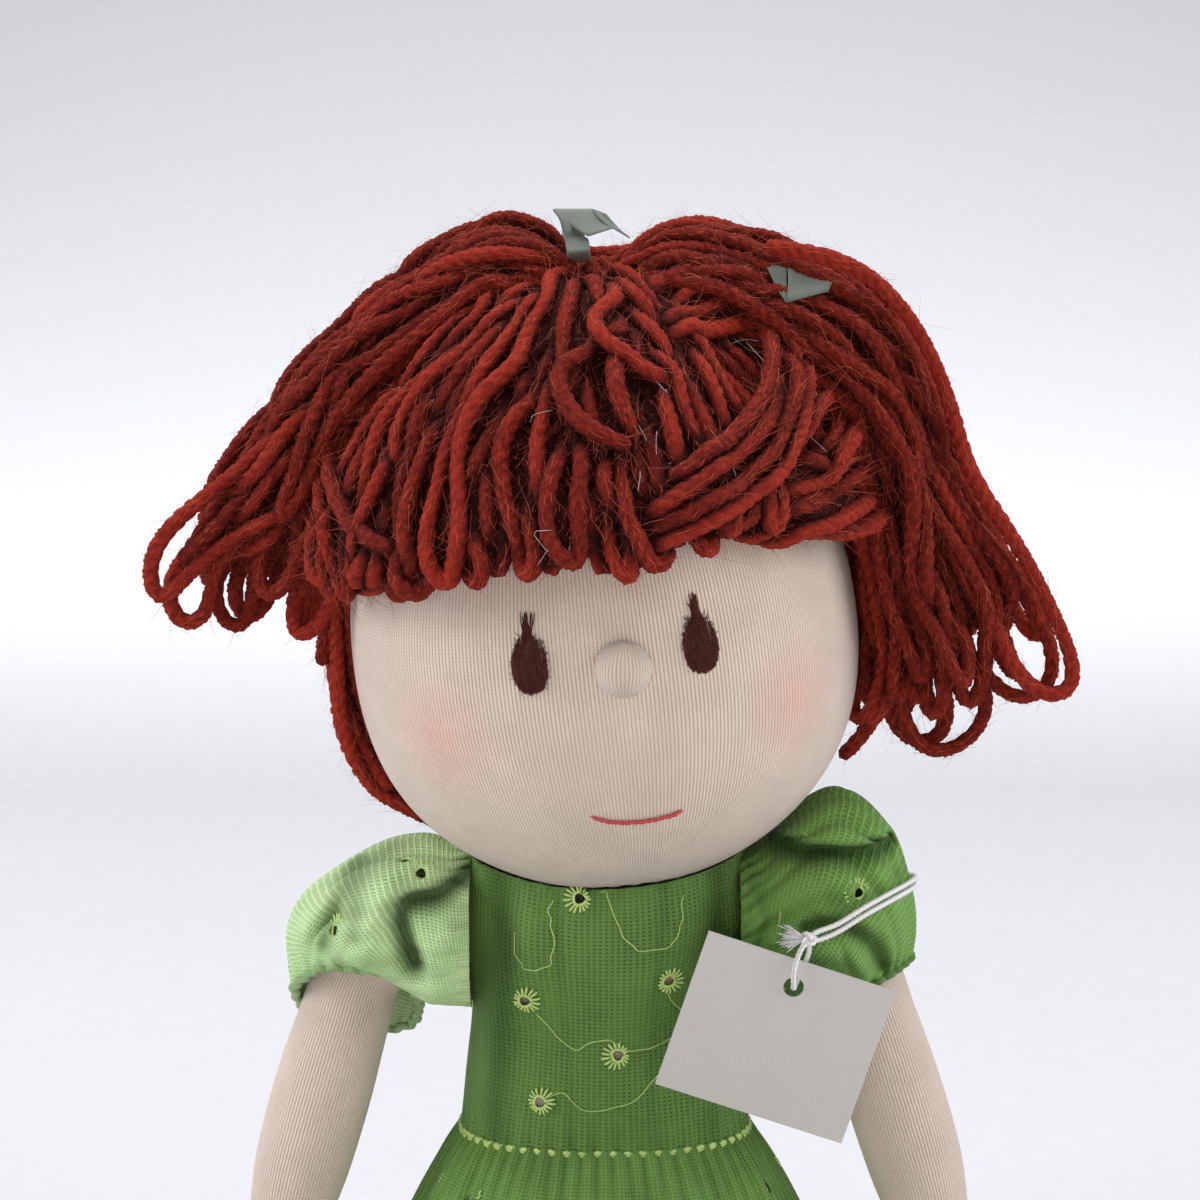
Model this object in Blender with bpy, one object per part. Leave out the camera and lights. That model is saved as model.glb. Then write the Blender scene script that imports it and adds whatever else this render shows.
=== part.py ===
"""Rag doll with yarn hair, a voile dress and a blank tag. Metres, +Z up, face towards -Y."""

import math

import bmesh
import bpy
from mathutils import Matrix, Vector

# Clearances and cloth
GAP = 0.0003
SKIN = 0.0009
CLOTH = 0.0016
OVERRUN = 0.004
WELD = 0.000001
BALL_AROUND = 16
BALL_ROWS = 10

# Head
HEAD_HALF_WIDTH = 0.059
HEAD_HALF_DEPTH = 0.057
HEAD_CHIN_DROP = 0.057
HEAD_CROWN_RISE = 0.066
HEAD_CENTRE_RISE = 0.063
HEAD_POWER = 2.1
HEAD_AROUND = 28
HEAD_ROWS = 14
HEAD_TILT_DEG = -6.3
HEAD_YAW_DEG = 3.0
NECK_MOUTH_EL_DEG = -82.0

# Face, as bearings on the head in degrees and sizes in metres
EYE_BEARING_DEG = 18.3
EYE_EL_DEG = 8.0
EYE_HALF_WIDTH = 0.0042
EYE_HALF_HEIGHT = 0.0082
EYE_LIFT = 0.0008
EYE_RIM_SHARE = 0.86
EYE_MIDDLE_SHARE = 0.45
NOSE_RADIUS = 0.0062
NOSE_BEARING_DEG = 1.1
NOSE_EL_DEG = 4.0
NOSE_STAND = 0.0030
MOUTH_RADIUS = 0.0005
MOUTH_ROUTE_DEG = ((-10.2, -30.4), (-4.5, -32.6), (2.1, -33.4), (8.0, -33.0), (12.9, -32.0))

# Trunk and neck
TORSO_HEIGHT = 0.115
TORSO_HALF_WIDTH = 0.0370
TORSO_HALF_DEPTH = 0.0250
TORSO_SET_BACK = 0.008
TORSO_AROUND = 20
TORSO_POWER = 2.3
NECK_RADIUS = 0.0095
NECK_PIVOT_DROP = 0.0020
NECK_LEAN = 0.0058
NECK_AROUND = 20

# Arms
ARM_RADIUS = 0.0112
LEFT_ARM_REACH = 0.0400
RIGHT_ARM_REACH = 0.0376
ARM_DROP = 0.0960
ARM_AROUND = 12
ARM_FORWARD = 0.0100
SHOULDER_DROP = 0.0020

# Limb ends: how deep the skin is at the tip, and its filling's clearance there
LIMB_TIP = 0.0023
LIMB_TIP_GAP = 0.0012

# Legs and shoes
LEG_RADIUS = 0.0165
LEG_LENGTH = 0.134
LEG_SPREAD = 0.0205
HIP_FORWARD = 0.023
LEG_FOOT = 0.0005
LEG_AROUND = 14
HIP_AROUND = 32
SHOE_HALF_WIDTH = 0.0160
SHOE_HALF_DEPTH = 0.0150
SHOE_HALF_HEIGHT = 0.0250
SHOE_FLAT = 0.0005

# Dress
WAIST_HEIGHT = 0.060
BODICE_DROP = 0.0030
SKIRT_SIDE = 0.060
SKIRT_FRONT = 0.088
SKIRT_BACK = 0.056
SKIRT_HEM = 0.0010
SKIRT_FOLD = 0.0030
SKIRT_FOLDS = 12
SKIRT_FALL_POWER = 1.25
LAP_REACH_SHARE = 0.4
LAP_FOLD_SHARE = 0.25
SKIRT_AROUND = 48
SKIRT_STEPS = 5
LAP_HEIGHT = 0.0362
LAP_HALF_WIDTH = 0.0440
LAP_EASE = 0.0100
LEFT_SLEEVE_WIDTH = 0.0416
RIGHT_SLEEVE_WIDTH = 0.0438
SLEEVE_HALF_HEIGHT = 0.0250
SLEEVE_HALF_DEPTH = 0.0240
ARMHOLE_SHARE = 0.4
SLEEVE_FOLD_SHARE = 0.035
SLEEVE_FOLDS = 7
SLEEVE_AROUND = 28
SLEEVE_POWER = 2.2

# Hair
HAIR_REACH_LEFT = 0.110
HAIR_REACH_RIGHT = 0.106
HAIR_HALF_DEPTH = 0.023
HAIR_HALF_HEIGHT = 0.050
FRINGE_THICKNESS = 0.0125
FRINGE_BEARINGS_DEG = (-72.0, 74.0)
FRINGE_LOBES = 6
FRINGE_EDGES_DEG = (18.0, 29.0)
BACK_THICKNESS = 0.0100
BACK_BEARINGS_DEG = (108.0, 252.0)
BACK_LOBES = 7
BACK_EDGES_DEG = (-24.0, -44.0)
PATCH_TOP_EL_DEG = 66.0
PATCH_EDGE_SHARE = 0.25
PATCH_SINK = 0.003
PATCH_COLUMNS = 20
PATCH_ROWS = 6
HAIR_LOBE_SHARE = 0.10
BUNCH_LOBE_SHARE = 0.05
BUNCH_LOBES = 7
BUNCH_AROUND = 20
BUNCH_POWER = 2.2

# Ribbons
RIBBON_WIDTH = 0.0090
RIBBON_THICKNESS = 0.0007
RIBBON_LOOP_HALF_LENGTH = 0.0080
RIBBON_LOOP_HALF_HEIGHT = 0.0042
RIBBON_AROUND = 16
RIGHT_RIBBON_PLACE = (-0.0040, -0.0130, 0.0930)
RIGHT_RIBBON_LEAN_DEG = 20.0
LEFT_RIBBON_PLACE = (0.0530, -0.0140, 0.0870)
LEFT_RIBBON_LEAN_DEG = 42.0
RIBBON_TURN_DEG = 12.0

# Tag, its knot and its string
CARD_WIDTH = 0.045
CARD_HEIGHT = 0.038
CARD_THICKNESS = 0.0006
CARD_ROLL_DEG = 18.5
CARD_HOLE_RADIUS = 0.00235
CARD_HOLE_DROP = 0.0064
CARD_HOLE_AROUND = 20
KNOT_RADIUS = 0.0019
STRING_RADIUS = 0.0007


def catmull(rows, steps):
    """Rows read off a smooth curve through the given rows, with so many steps to a gap."""
    out = []
    last = len(rows) - 1
    for i in range(last):
        before, here = rows[max(i - 1, 0)], rows[i]
        after, beyond = rows[i + 1], rows[min(i + 2, last)]
        for k in range(steps):
            t = k / steps
            out.append(tuple(
                0.5 * (2 * q + (r - p) * t + (2 * p - 5 * q + 4 * r - s) * t * t
                       + (3 * q - p - 3 * r + s) * t * t * t)
                for p, q, r, s in zip(before, here, after, beyond)))
    out.append(tuple(rows[last]))
    return out


def material(name, colour, roughness, metallic=0.0):
    """A plain principled finish."""
    mat = bpy.data.materials.new(name)
    mat.use_nodes = True
    shader = mat.node_tree.nodes["Principled BSDF"]
    shader.inputs["Base Color"].default_value = (*colour, 1.0)
    shader.inputs["Roughness"].default_value = roughness
    shader.inputs["Metallic"].default_value = metallic
    mat.diffuse_color = (*colour, 1.0)
    return mat


def add_ring(bm, ring):
    """One closed ring of edges, the start of a loft."""
    verts = [bm.verts.new(point) for point in ring]
    edges = [bm.edges.new((verts[i - 1], verts[i])) for i in range(len(verts))]
    return verts, edges


def extrude_ring(bm, verts, edges, ring):
    """The ring extruded once, its new points moved to the next ring's places."""
    made = bmesh.ops.extrude_edge_only(bm, edges=edges)["geom"]
    fresh = {item for item in made if isinstance(item, bmesh.types.BMVert)}
    moved = []
    for vert, place in zip(verts, ring):
        twin = next(e.other_vert(vert) for e in vert.link_edges if e.other_vert(vert) in fresh)
        moved.append(twin)
        twin.co = place
    ring_edges = [e for e in {e for v in moved for e in v.link_edges}
                  if e.verts[0] in fresh and e.verts[1] in fresh]
    return moved, ring_edges


def close_ring(bm, edges, pole):
    """A ring closed to one point."""
    made = bmesh.ops.extrude_edge_only(bm, edges=edges)["geom"]
    fresh = [item for item in made if isinstance(item, bmesh.types.BMVert)]
    bmesh.ops.pointmerge(bm, verts=fresh, merge_co=pole)


def loft(bm, rings, first_pole=None, last_pole=None):
    """A skin over rings, with an end closed where its pole is given; returns the open end edges."""
    verts, edges = add_ring(bm, rings[0])
    first = edges
    for ring in rings[1:]:
        verts, edges = extrude_ring(bm, verts, edges, ring)
    if first_pole is not None:
        close_ring(bm, first, first_pole)
    if last_pole is not None:
        close_ring(bm, edges, last_pole)
    return first, edges


def finish(bm, name, mat, parent=None, location=None, sharp_deg=50.0):
    """A mesh object from the bmesh, faces outwards and shaded smooth; origin moved to location."""
    bmesh.ops.recalc_face_normals(bm, faces=bm.faces)
    if location is not None:
        bmesh.ops.translate(bm, verts=bm.verts, vec=-Vector(location))
    mesh = bpy.data.meshes.new(name)
    bm.to_mesh(mesh)
    bm.free()
    mesh.shade_smooth()
    mesh.set_sharp_from_angle(angle=math.radians(sharp_deg))
    obj = bpy.data.objects.new(name, mesh)
    bpy.context.collection.objects.link(obj)
    if location is not None:
        obj.location = location
    if parent is not None:
        obj.parent = parent
    if mat is not None:
        obj.data.materials.append(mat)
    return obj


def solid(name, rings, first_pole, last_pole, mat=None, parent=None, location=None):
    """A closed solid over rings with both ends run to poles."""
    bm = bmesh.new()
    loft(bm, rings, first_pole, last_pole)
    return finish(bm, name, mat, parent, location)


def cup(name, outer, outer_pole, inner, inner_pole, mat, parent=None, location=None):
    """A thin-walled skin, open at its first rings and closed at its far end."""
    bm = bmesh.new()
    loft(bm, outer[::-1] + inner, outer_pole, inner_pole)
    return finish(bm, name, mat, parent, location)


def hoop(name, outer, inner, mat, parent=None, location=None):
    """A thin-walled tube, open at both ends."""
    bm = bmesh.new()
    loft(bm, outer + inner[::-1] + outer[:1])
    bmesh.ops.remove_doubles(bm, verts=bm.verts, dist=WELD)
    return finish(bm, name, mat, parent, location)


def cutter(obj):
    """Marks a guide that only cuts."""
    obj.hide_render = True
    obj.display_type = "WIRE"
    return obj


def grown(obj, by):
    """A cutter: the piece's own shape, larger all round by a clearance."""
    bm = bmesh.new()
    bm.from_mesh(obj.data)
    bm.normal_update()
    for vert in bm.verts:
        vert.co += vert.normal * by
    mesh = bpy.data.meshes.new(obj.name + "_clearance")
    bm.to_mesh(mesh)
    bm.free()
    copy = bpy.data.objects.new(obj.name + "_clearance", mesh)
    bpy.context.collection.objects.link(copy)
    copy.parent = obj.parent
    copy.matrix_world = obj.matrix_world.copy()
    copy.location, copy.rotation_euler = obj.location, obj.rotation_euler
    return cutter(copy)


def cut(obj, *tools):
    """The piece cut by each tool."""
    for tool in tools:
        boolean = obj.modifiers.new(tool.name, "BOOLEAN")
        boolean.operation = "DIFFERENCE"
        boolean.solver = "EXACT"
        boolean.object = tool


def unit_oval(angle, power):
    """A point at an angle round an oval of unit half axes, squared by power."""
    c, s = math.cos(angle), math.sin(angle)
    size = (abs(c) ** power + abs(s) ** power) ** (-1 / power)
    return c * size, s * size


def oval(centre, across, up, around, power=2.0, folds=0, fold_share=0.0):
    """A ring of points: an oval of two half-axis vectors, squared by power and waved by folds."""
    ring = []
    for i in range(around):
        angle = math.tau * i / around
        c, s = unit_oval(angle, power)
        swell = 1 + fold_share * math.cos(folds * angle)
        ring.append(centre + across * (c * swell) + up * (s * swell))
    return ring


def path_rings(rows, side, around, grow=0.0, power=2.0):
    """Rings square to a path; each row is a place and the two half widths there."""
    rings = []
    places = [Vector(row[:3]) for row in rows]
    for i, row in enumerate(rows):
        along = (places[min(i + 1, len(rows) - 1)] - places[max(i - 1, 0)]).normalized()
        across = (side - along * side.dot(along)).normalized()
        up = along.cross(across)
        rings.append(oval(places[i], across * (row[3] + grow), up * (row[4] + grow), around, power))
    return rings


def head_normal(bearing, elevation):
    """Unit direction on the head: bearing 0 faces -Y and grows towards +X."""
    flat = math.cos(elevation)
    return Vector((math.sin(bearing) * flat, -math.cos(bearing) * flat, math.sin(elevation)))


def head_point(bearing, elevation, lift=0.0):
    """A point on the head's knit, lifted square off it."""
    d = head_normal(bearing, elevation)
    size = sum(abs(k) ** HEAD_POWER for k in d) ** (-1 / HEAD_POWER)
    half = Vector((HEAD_HALF_WIDTH, HEAD_HALF_DEPTH, HEAD_CROWN_RISE if d.z > 0 else HEAD_CHIN_DROP))
    place = Vector((d.x * half.x, d.y * half.y, d.z * half.z)) * size
    slope = Vector([math.copysign((abs(p) / h) ** (HEAD_POWER - 1) / h, p) for p, h in zip(place, half)])
    return place + slope.normalized() * lift


def head_rings(lowest_deg, around, rows, lift):
    """Rings round the head from the neck's mouth to just under the crown."""
    rings = []
    for k in range(rows):
        elevation = math.radians(lowest_deg + (90.0 - lowest_deg) * k / rows)
        rings.append([head_point(math.tau * i / around, elevation, lift) for i in range(around)])
    return rings


def make_head(frame, knit, filling):
    """The stuffed ball: a knit skin open at the neck, and its filling."""
    around, rows, inner_rows = HEAD_AROUND, HEAD_ROWS, HEAD_ROWS // 2
    crown = [Vector((0, 0, HEAD_CROWN_RISE - drop)) for drop in (0.0, SKIN, SKIN + GAP)]
    outer = head_rings(NECK_MOUTH_EL_DEG, around, rows, 0.0)
    inner = head_rings(NECK_MOUTH_EL_DEG, around, inner_rows, -SKIN)
    cup("head", outer, crown[0], inner, crown[1], knit, frame)
    core = head_rings(NECK_MOUTH_EL_DEG, around, inner_rows, -SKIN - GAP)
    floor = sum(core[0], Vector()) / around
    solid("head_stuffing", core, floor, crown[2], filling, frame)
    clear = head_rings(NECK_MOUTH_EL_DEG, around, rows, GAP)
    tool = solid("head_clearance", clear, Vector((0, 0, -HEAD_CHIN_DROP - GAP)),
                 Vector((0, 0, HEAD_CROWN_RISE + GAP)), None, frame)
    return cutter(tool)


EYE_WIDTH_SHARES = ((-1.0, 0.0), (-0.93, 0.46), (-0.72, 0.84), (-0.42, 1.0), (-0.08, 0.96), (0.20, 0.76),
                    (0.45, 0.48), (0.70, 0.24), (0.90, 0.11), (1.0, 0.05))


def eye_outline():
    """The teardrop as (across, up) shares, once round."""
    right = [(w, h) for h, w in EYE_WIDTH_SHARES]
    left = [(-w, h) for w, h in right[::-1] if w > 0]
    return right + left


def make_eye(frame, name, bearing_deg, thread):
    """A raised teardrop of satin stitch, closed over the knit."""
    outline = eye_outline()
    across = EYE_HALF_WIDTH / HEAD_HALF_DEPTH
    up = EYE_HALF_HEIGHT / HEAD_HALF_DEPTH
    middle = (math.radians(bearing_deg), math.radians(EYE_EL_DEG))

    def ring(share, lift):
        return [head_point(middle[0] + w * across * share, middle[1] + h * up * share, lift)
                for w, h in outline]
    rings = [ring(EYE_MIDDLE_SHARE, GAP), ring(1.0, GAP), ring(EYE_RIM_SHARE, EYE_LIFT + GAP),
             ring(EYE_MIDDLE_SHARE, EYE_LIFT + EYE_LIFT * EYE_MIDDLE_SHARE + GAP)]
    solid(name, rings, head_point(*middle, GAP), head_point(*middle, 2 * EYE_LIFT), thread, frame)


def make_nose(frame, knit, head_tool):
    """A small stuffed ball, cut to sit on the face."""
    bm = bmesh.new()
    bmesh.ops.create_uvsphere(bm, u_segments=BALL_AROUND, v_segments=BALL_ROWS, radius=NOSE_RADIUS)
    place = head_point(math.radians(NOSE_BEARING_DEG), math.radians(NOSE_EL_DEG), NOSE_STAND)
    bmesh.ops.translate(bm, verts=bm.verts, vec=place)
    nose = finish(bm, "nose", knit, frame)
    cut(nose, head_tool)


def tube(name, points, radius, mat, parent=None, resolution=2):
    """A round cord or thread along points, with filled ends."""
    curve = bpy.data.curves.new(name, "CURVE")
    curve.dimensions = "3D"
    curve.bevel_depth = radius
    curve.bevel_resolution = resolution
    curve.use_fill_caps = True
    spline = curve.splines.new("POLY")
    spline.points.add(len(points) - 1)
    for point, place in zip(spline.points, points):
        point.co = (*place, 1.0)
    obj = bpy.data.objects.new(name, curve)
    bpy.context.collection.objects.link(obj)
    obj.parent = parent
    curve.materials.append(mat)
    return obj


def make_mouth(frame, thread):
    """One couched thread across the chin."""
    route = catmull(MOUTH_ROUTE_DEG, 4)
    lift = MOUTH_RADIUS + GAP
    tube("mouth", [head_point(math.radians(b), math.radians(e), lift) for b, e in route],
         MOUTH_RADIUS, thread, frame, resolution=1)


# Trunk rings: height, half width and half depth, as shares
TORSO_SHARES = (
    (0.0, 0.80, 0.78), (0.03, 0.92, 0.92), (0.14, 1.0, 1.0), (0.32, 1.0, 1.0), (0.52, 0.88, 0.88),
    (0.72, 0.81, 0.80), (0.86, 0.80, 0.77), (0.94, 0.76, 0.72), (0.98, 0.62, 0.64), (0.993, 0.47, 0.55),
    (1.0, 0.31, 0.45))
TORSO_LID_RINGS = 3


def torso_row(height):
    """Centre and half sizes of the trunk at a height, read off its shares."""
    rows = catmull(TORSO_SHARES, 6)
    share = height / TORSO_HEIGHT
    low = max(0, min(len(rows) - 2, next((i - 1 for i, r in enumerate(rows) if r[0] > share), len(rows) - 2)))
    a, b = rows[low], rows[low + 1]
    t = 0.0 if b[0] == a[0] else max(0.0, min(1.0, (share - a[0]) / (b[0] - a[0])))
    wide, deep = a[1] + (b[1] - a[1]) * t, a[2] + (b[2] - a[2]) * t
    back = TORSO_SET_BACK * (1 - max(0.0, min(1.0, share)))
    return back, TORSO_HALF_WIDTH * wide, TORSO_HALF_DEPTH * deep


def torso_ring(height, around, lift=0.0):
    """A ring of the trunk at a height, lifted off it."""
    back, wide, deep = torso_row(height)
    return oval(Vector((0, back, height)), Vector((wide + lift, 0, 0)), Vector((0, deep + lift, 0)),
                around, TORSO_POWER)


def make_torso(knit, filling, tools):
    """The trunk's skin, open at the neck, and its filling; both scooped for hips and neck."""
    heights = [TORSO_HEIGHT * row[0] for row in TORSO_SHARES][::-1]
    foot = Vector((0, TORSO_SET_BACK, 0))
    outer = [torso_ring(h, TORSO_AROUND) for h in heights]
    inner = [torso_ring(max(h, SKIN), TORSO_AROUND, -SKIN) for h in heights]
    core = [torso_ring(max(h, SKIN + GAP), TORSO_AROUND, -SKIN - 2 * GAP) for h in heights]
    for ring, drop in ((inner, SKIN), (core, SKIN + 2 * GAP)):
        for row in ring[:TORSO_LID_RINGS]:
            for point in row:
                point.z -= drop
    skin = cup("torso", outer, foot, inner, foot + Vector((0, 0, SKIN)), knit)
    top = Vector((0, 0, core[0][0].z))
    stuffing = solid("torso_stuffing", core, top, foot + Vector((0, 0, SKIN + GAP)), filling)
    for piece in (skin, stuffing):
        cut(piece, *tools)


def hip_tools():
    """A round bar across the hips, and the room under it, that clear both thighs as they turn."""
    reach = TORSO_HALF_WIDTH + OVERRUN
    radius = LEG_RADIUS + GAP
    height = LEG_RADIUS + LEG_FOOT
    bm = bmesh.new()
    bmesh.ops.create_cone(bm, cap_ends=True, segments=HIP_AROUND, radius1=radius, radius2=radius, depth=2 * reach)
    bmesh.ops.rotate(bm, verts=bm.verts, matrix=Matrix.Rotation(math.pi / 2, 3, "Y"))
    bmesh.ops.translate(bm, verts=bm.verts, vec=(0, -HIP_FORWARD, height))
    bar = cutter(finish(bm, "hip_clearance", None))
    bm = bmesh.new()
    bmesh.ops.create_cube(bm, size=1.0)
    bmesh.ops.scale(bm, verts=bm.verts, vec=(2 * reach, 2 * radius, height + OVERRUN))
    bmesh.ops.translate(bm, verts=bm.verts, vec=(0, -HIP_FORWARD, (height - OVERRUN) / 2))
    return bar, cutter(finish(bm, "leg_swing_clearance", None))


NECK_SHARES = ((-0.92, 0.38, 0.0), (-0.70, 0.71, 0.0), (-0.38, 0.92, 0.0), (0.0, 1.0, 0.0),
               (0.35, 0.97, 0.12), (0.70, 0.96, 0.60), (1.0, 0.96, 1.0))


def make_neck(knit, head_tool):
    """A short stuffed stub, round below so that it nods in the trunk's hollow."""
    pivot = Vector((0, 0, TORSO_HEIGHT - NECK_PIVOT_DROP))
    rings = []
    for up, wide, lean in NECK_SHARES:
        centre = pivot + Vector((lean * NECK_LEAN, 0, up * NECK_RADIUS))
        rings.append(oval(centre, Vector((wide * NECK_RADIUS, 0, 0)), Vector((0, wide * NECK_RADIUS, 0)),
                          NECK_AROUND))
    low = pivot - Vector((0, 0, NECK_RADIUS))
    high = pivot + Vector((NECK_LEAN, 0, NECK_RADIUS))
    neck = solid("neck", rings, low, high, knit, location=pivot)
    cut(neck, head_tool)
    bm = bmesh.new()
    bmesh.ops.create_uvsphere(bm, u_segments=NECK_AROUND, v_segments=NECK_AROUND // 2,
                              radius=NECK_RADIUS + 4 * GAP)
    bmesh.ops.translate(bm, verts=bm.verts, vec=pivot)
    return cutter(finish(bm, "neck_clearance", None))


# Arm rings from shoulder to finger end: out, down and forwards, then half width and half depth, as shares
ARM_PATH_SHARES = (
    (0.0, 0.0, 0.0), (0.20, 0.055, 0.0), (0.40, 0.145, 0.02), (0.51, 0.27, 0.14), (0.64, 0.44, 0.36),
    (0.78, 0.63, 0.60), (0.89, 0.80, 0.80), (0.96, 0.92, 0.92), (1.0, 1.0, 1.0))
ARM_WIDTH_SHARES = (0.98, 0.97, 0.94, 0.97, 1.04, 1.0, 0.88, 0.98, 0.72)
ARM_DEPTH_SHARES = (0.98, 0.97, 0.94, 0.97, 1.04, 1.0, 0.80, 0.72, 0.50)


def armhole_reach():
    """How far out the bodice's side lies under the sleeve, with a clearance."""
    return torso_row(TORSO_HEIGHT - SHOULDER_DROP - ARMHOLE_SHARE * SLEEVE_HALF_HEIGHT)[1] + GAP + CLOTH + GAP


def shoulder_reach():
    """How far out the shoulder's centre lies: the arm's round top meets the bodice's side."""
    return armhole_reach() + ARM_RADIUS


def arm_rows(side, reach):
    """Rows down an arm from shoulder to finger end."""
    start = Vector((side * shoulder_reach(), 0, TORSO_HEIGHT - SHOULDER_DROP))
    rows = []
    for (out, down, front), wide, deep in zip(ARM_PATH_SHARES, ARM_WIDTH_SHARES, ARM_DEPTH_SHARES):
        place = start + Vector((side * out * reach, -front * ARM_FORWARD, -down * ARM_DROP))
        rows.append((*place, wide * ARM_RADIUS, deep * ARM_RADIUS))
    return rows


# Rounded limb ends, each ring (back, width) as shares of the end's width, and how far on the tip is
START_CAP_SHARES = ((0.55, 0.80), (0.88, 0.42))
END_CAP_SHARES = ((0.45, 0.78), (0.72, 0.40))
TIP_SHARE = 0.4


def cap_rows(rows, shares):
    """Two more rows that round off the path's start."""
    first, second = Vector(rows[0][:3]), Vector(rows[1][:3])
    back = (first - second).normalized()
    wide, deep = rows[0][3], rows[0][4]
    added = [(*(first + back * (wide * b)), wide * w, deep * w) for b, w in shares]
    return added[::-1] + list(rows), first + back * wide


def end_rows(rows):
    """Rows with the far end rounded the same way."""
    turned = cap_rows(rows[::-1], END_CAP_SHARES)[0]
    tip, before = Vector(turned[0][:3]), Vector(turned[2][:3])
    return turned[::-1], tip + (tip - before).normalized() * (turned[0][3] * TIP_SHARE)


def limb(name, rows, side_axis, around, knit, filling, location):
    """A stuffed limb: a skin closed at both ends but for a small sewn mouth, and its filling."""
    rounded, near_pole = cap_rows(rows, START_CAP_SHARES)
    full, far_pole = end_rows(rounded)
    outer = path_rings(full, side_axis, around)
    inner = path_rings(full[:-1], side_axis, around, -SKIN)
    core = path_rings(full[1:-1], side_axis, around, -SKIN - 2 * GAP)
    toward = (far_pole - Vector(full[-2][:3])).normalized()
    inner_pole = far_pole - toward * LIMB_TIP
    cup(name, outer, far_pole, inner, inner_pole, knit, location=location)
    solid(name + "_stuffing", core, Vector(full[1][:3]), inner_pole - toward * LIMB_TIP_GAP, filling,
          location=location)
    tool = solid(name + "_clearance", path_rings(full, side_axis, around, 2 * GAP), near_pole,
                 far_pole + toward * (2 * GAP), None, location=location)
    return cutter(tool)


LEG_SHARES = ((0.0, 1.0), (0.14, 1.0), (0.36, 0.93), (0.55, 0.86), (0.78, 0.78), (0.92, 0.72), (1.0, 0.70))


def make_leg(name, side, knit, filling):
    """A leg stretched forwards from its hip."""
    hip = Vector((side * LEG_SPREAD, -HIP_FORWARD, LEG_RADIUS + LEG_FOOT))
    rows = [(hip.x, hip.y - LEG_LENGTH * share, hip.z, LEG_RADIUS * wide, LEG_RADIUS * wide)
            for share, wide in LEG_SHARES]
    return limb(name, rows, Vector((1, 0, 0)), LEG_AROUND, knit, filling, hip)


def make_shoe(name, side, leg_tool, felt):
    """A soft shoe, toe up, with the ankle's hole left open at its back."""
    bm = bmesh.new()
    bmesh.ops.create_uvsphere(bm, u_segments=BALL_AROUND, v_segments=BALL_ROWS, radius=1.0)
    size = Vector((SHOE_HALF_WIDTH, SHOE_HALF_DEPTH, SHOE_HALF_HEIGHT))
    bmesh.ops.scale(bm, verts=bm.verts, vec=size)
    centre = Vector((side * LEG_SPREAD, -HIP_FORWARD - LEG_LENGTH, SHOE_HALF_HEIGHT - SHOE_FLAT))
    bmesh.ops.translate(bm, verts=bm.verts, vec=centre)
    cut_geom = bm.verts[:] + bm.edges[:] + bm.faces[:]
    bmesh.ops.bisect_plane(bm, geom=cut_geom, plane_co=(0, 0, 0), plane_no=(0, 0, -1), clear_outer=True)
    bmesh.ops.holes_fill(bm, edges=[e for e in bm.edges if e.is_boundary], sides=0)
    shoe = finish(bm, name, felt, location=(side * LEG_SPREAD, -HIP_FORWARD, LEG_RADIUS + LEG_FOOT))
    cut(shoe, leg_tool)


def make_bodice(voile):
    """The dress's bodice, a tube of cloth round the chest."""
    low = WAIST_HEIGHT + GAP
    between = [TORSO_HEIGHT * row[0] for row in TORSO_SHARES]
    high = TORSO_HEIGHT - BODICE_DROP
    heights = [low] + [h for h in between if low < h < high] + [high]
    outer = [torso_ring(h, TORSO_AROUND, GAP + CLOTH) for h in heights]
    inner = [torso_ring(h, TORSO_AROUND, GAP) for h in heights]
    hoop("bodice", outer, inner, voile)


def ease(low, high, value):
    """Smooth step from 0 at low to 1 at high."""
    t = max(0.0, min(1.0, (value - low) / (high - low)))
    return t * t * (3 - 2 * t)


def skirt_point(angle, share, lift):
    """A point of the skirt: angle 0 is +X and grows to the back; share runs from waist to hem."""
    c, s = unit_oval(angle, TORSO_POWER)
    back, wide, deep = torso_row(WAIST_HEIGHT)
    reach = SKIRT_FRONT if s < 0 else SKIRT_BACK
    fold = SKIRT_FOLD * share * math.cos(SKIRT_FOLDS * angle)
    width = wide + GAP + lift + (SKIRT_SIDE - wide) * share
    depth = deep + GAP + lift + (reach - deep) * share
    x = c * (width + fold)
    y = back * (1 - share) + s * (depth + fold)
    fall = share ** SKIRT_FALL_POWER
    z = WAIST_HEIGHT + (SKIRT_HEM - WAIST_HEIGHT) * fall
    on_lap = (1 - ease(LAP_HALF_WIDTH, LAP_HALF_WIDTH + LAP_EASE, abs(x))) * ease(-LAP_EASE, LAP_EASE, -y)
    floor = SKIRT_HEM + (LAP_HEIGHT - SKIRT_HEM) * on_lap
    top = WAIST_HEIGHT - (WAIST_HEIGHT - LAP_HEIGHT) * ease(0.0, LAP_REACH_SHARE, share)
    z = max(z, min(floor, top)) + fold * on_lap * LAP_FOLD_SHARE
    return Vector((x, y, z + lift * on_lap * ease(0.0, LAP_REACH_SHARE, share)))


def make_skirt(voile):
    """The skirt: round the hips, over the lap, its hem on the ground at the sides and back."""
    def rings(lift):
        return [[skirt_point(math.tau * i / SKIRT_AROUND, k / SKIRT_STEPS, lift) for i in range(SKIRT_AROUND)]
                for k in range(SKIRT_STEPS + 1)]
    hoop("skirt", rings(CLOTH), rings(0.0), voile)


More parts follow.
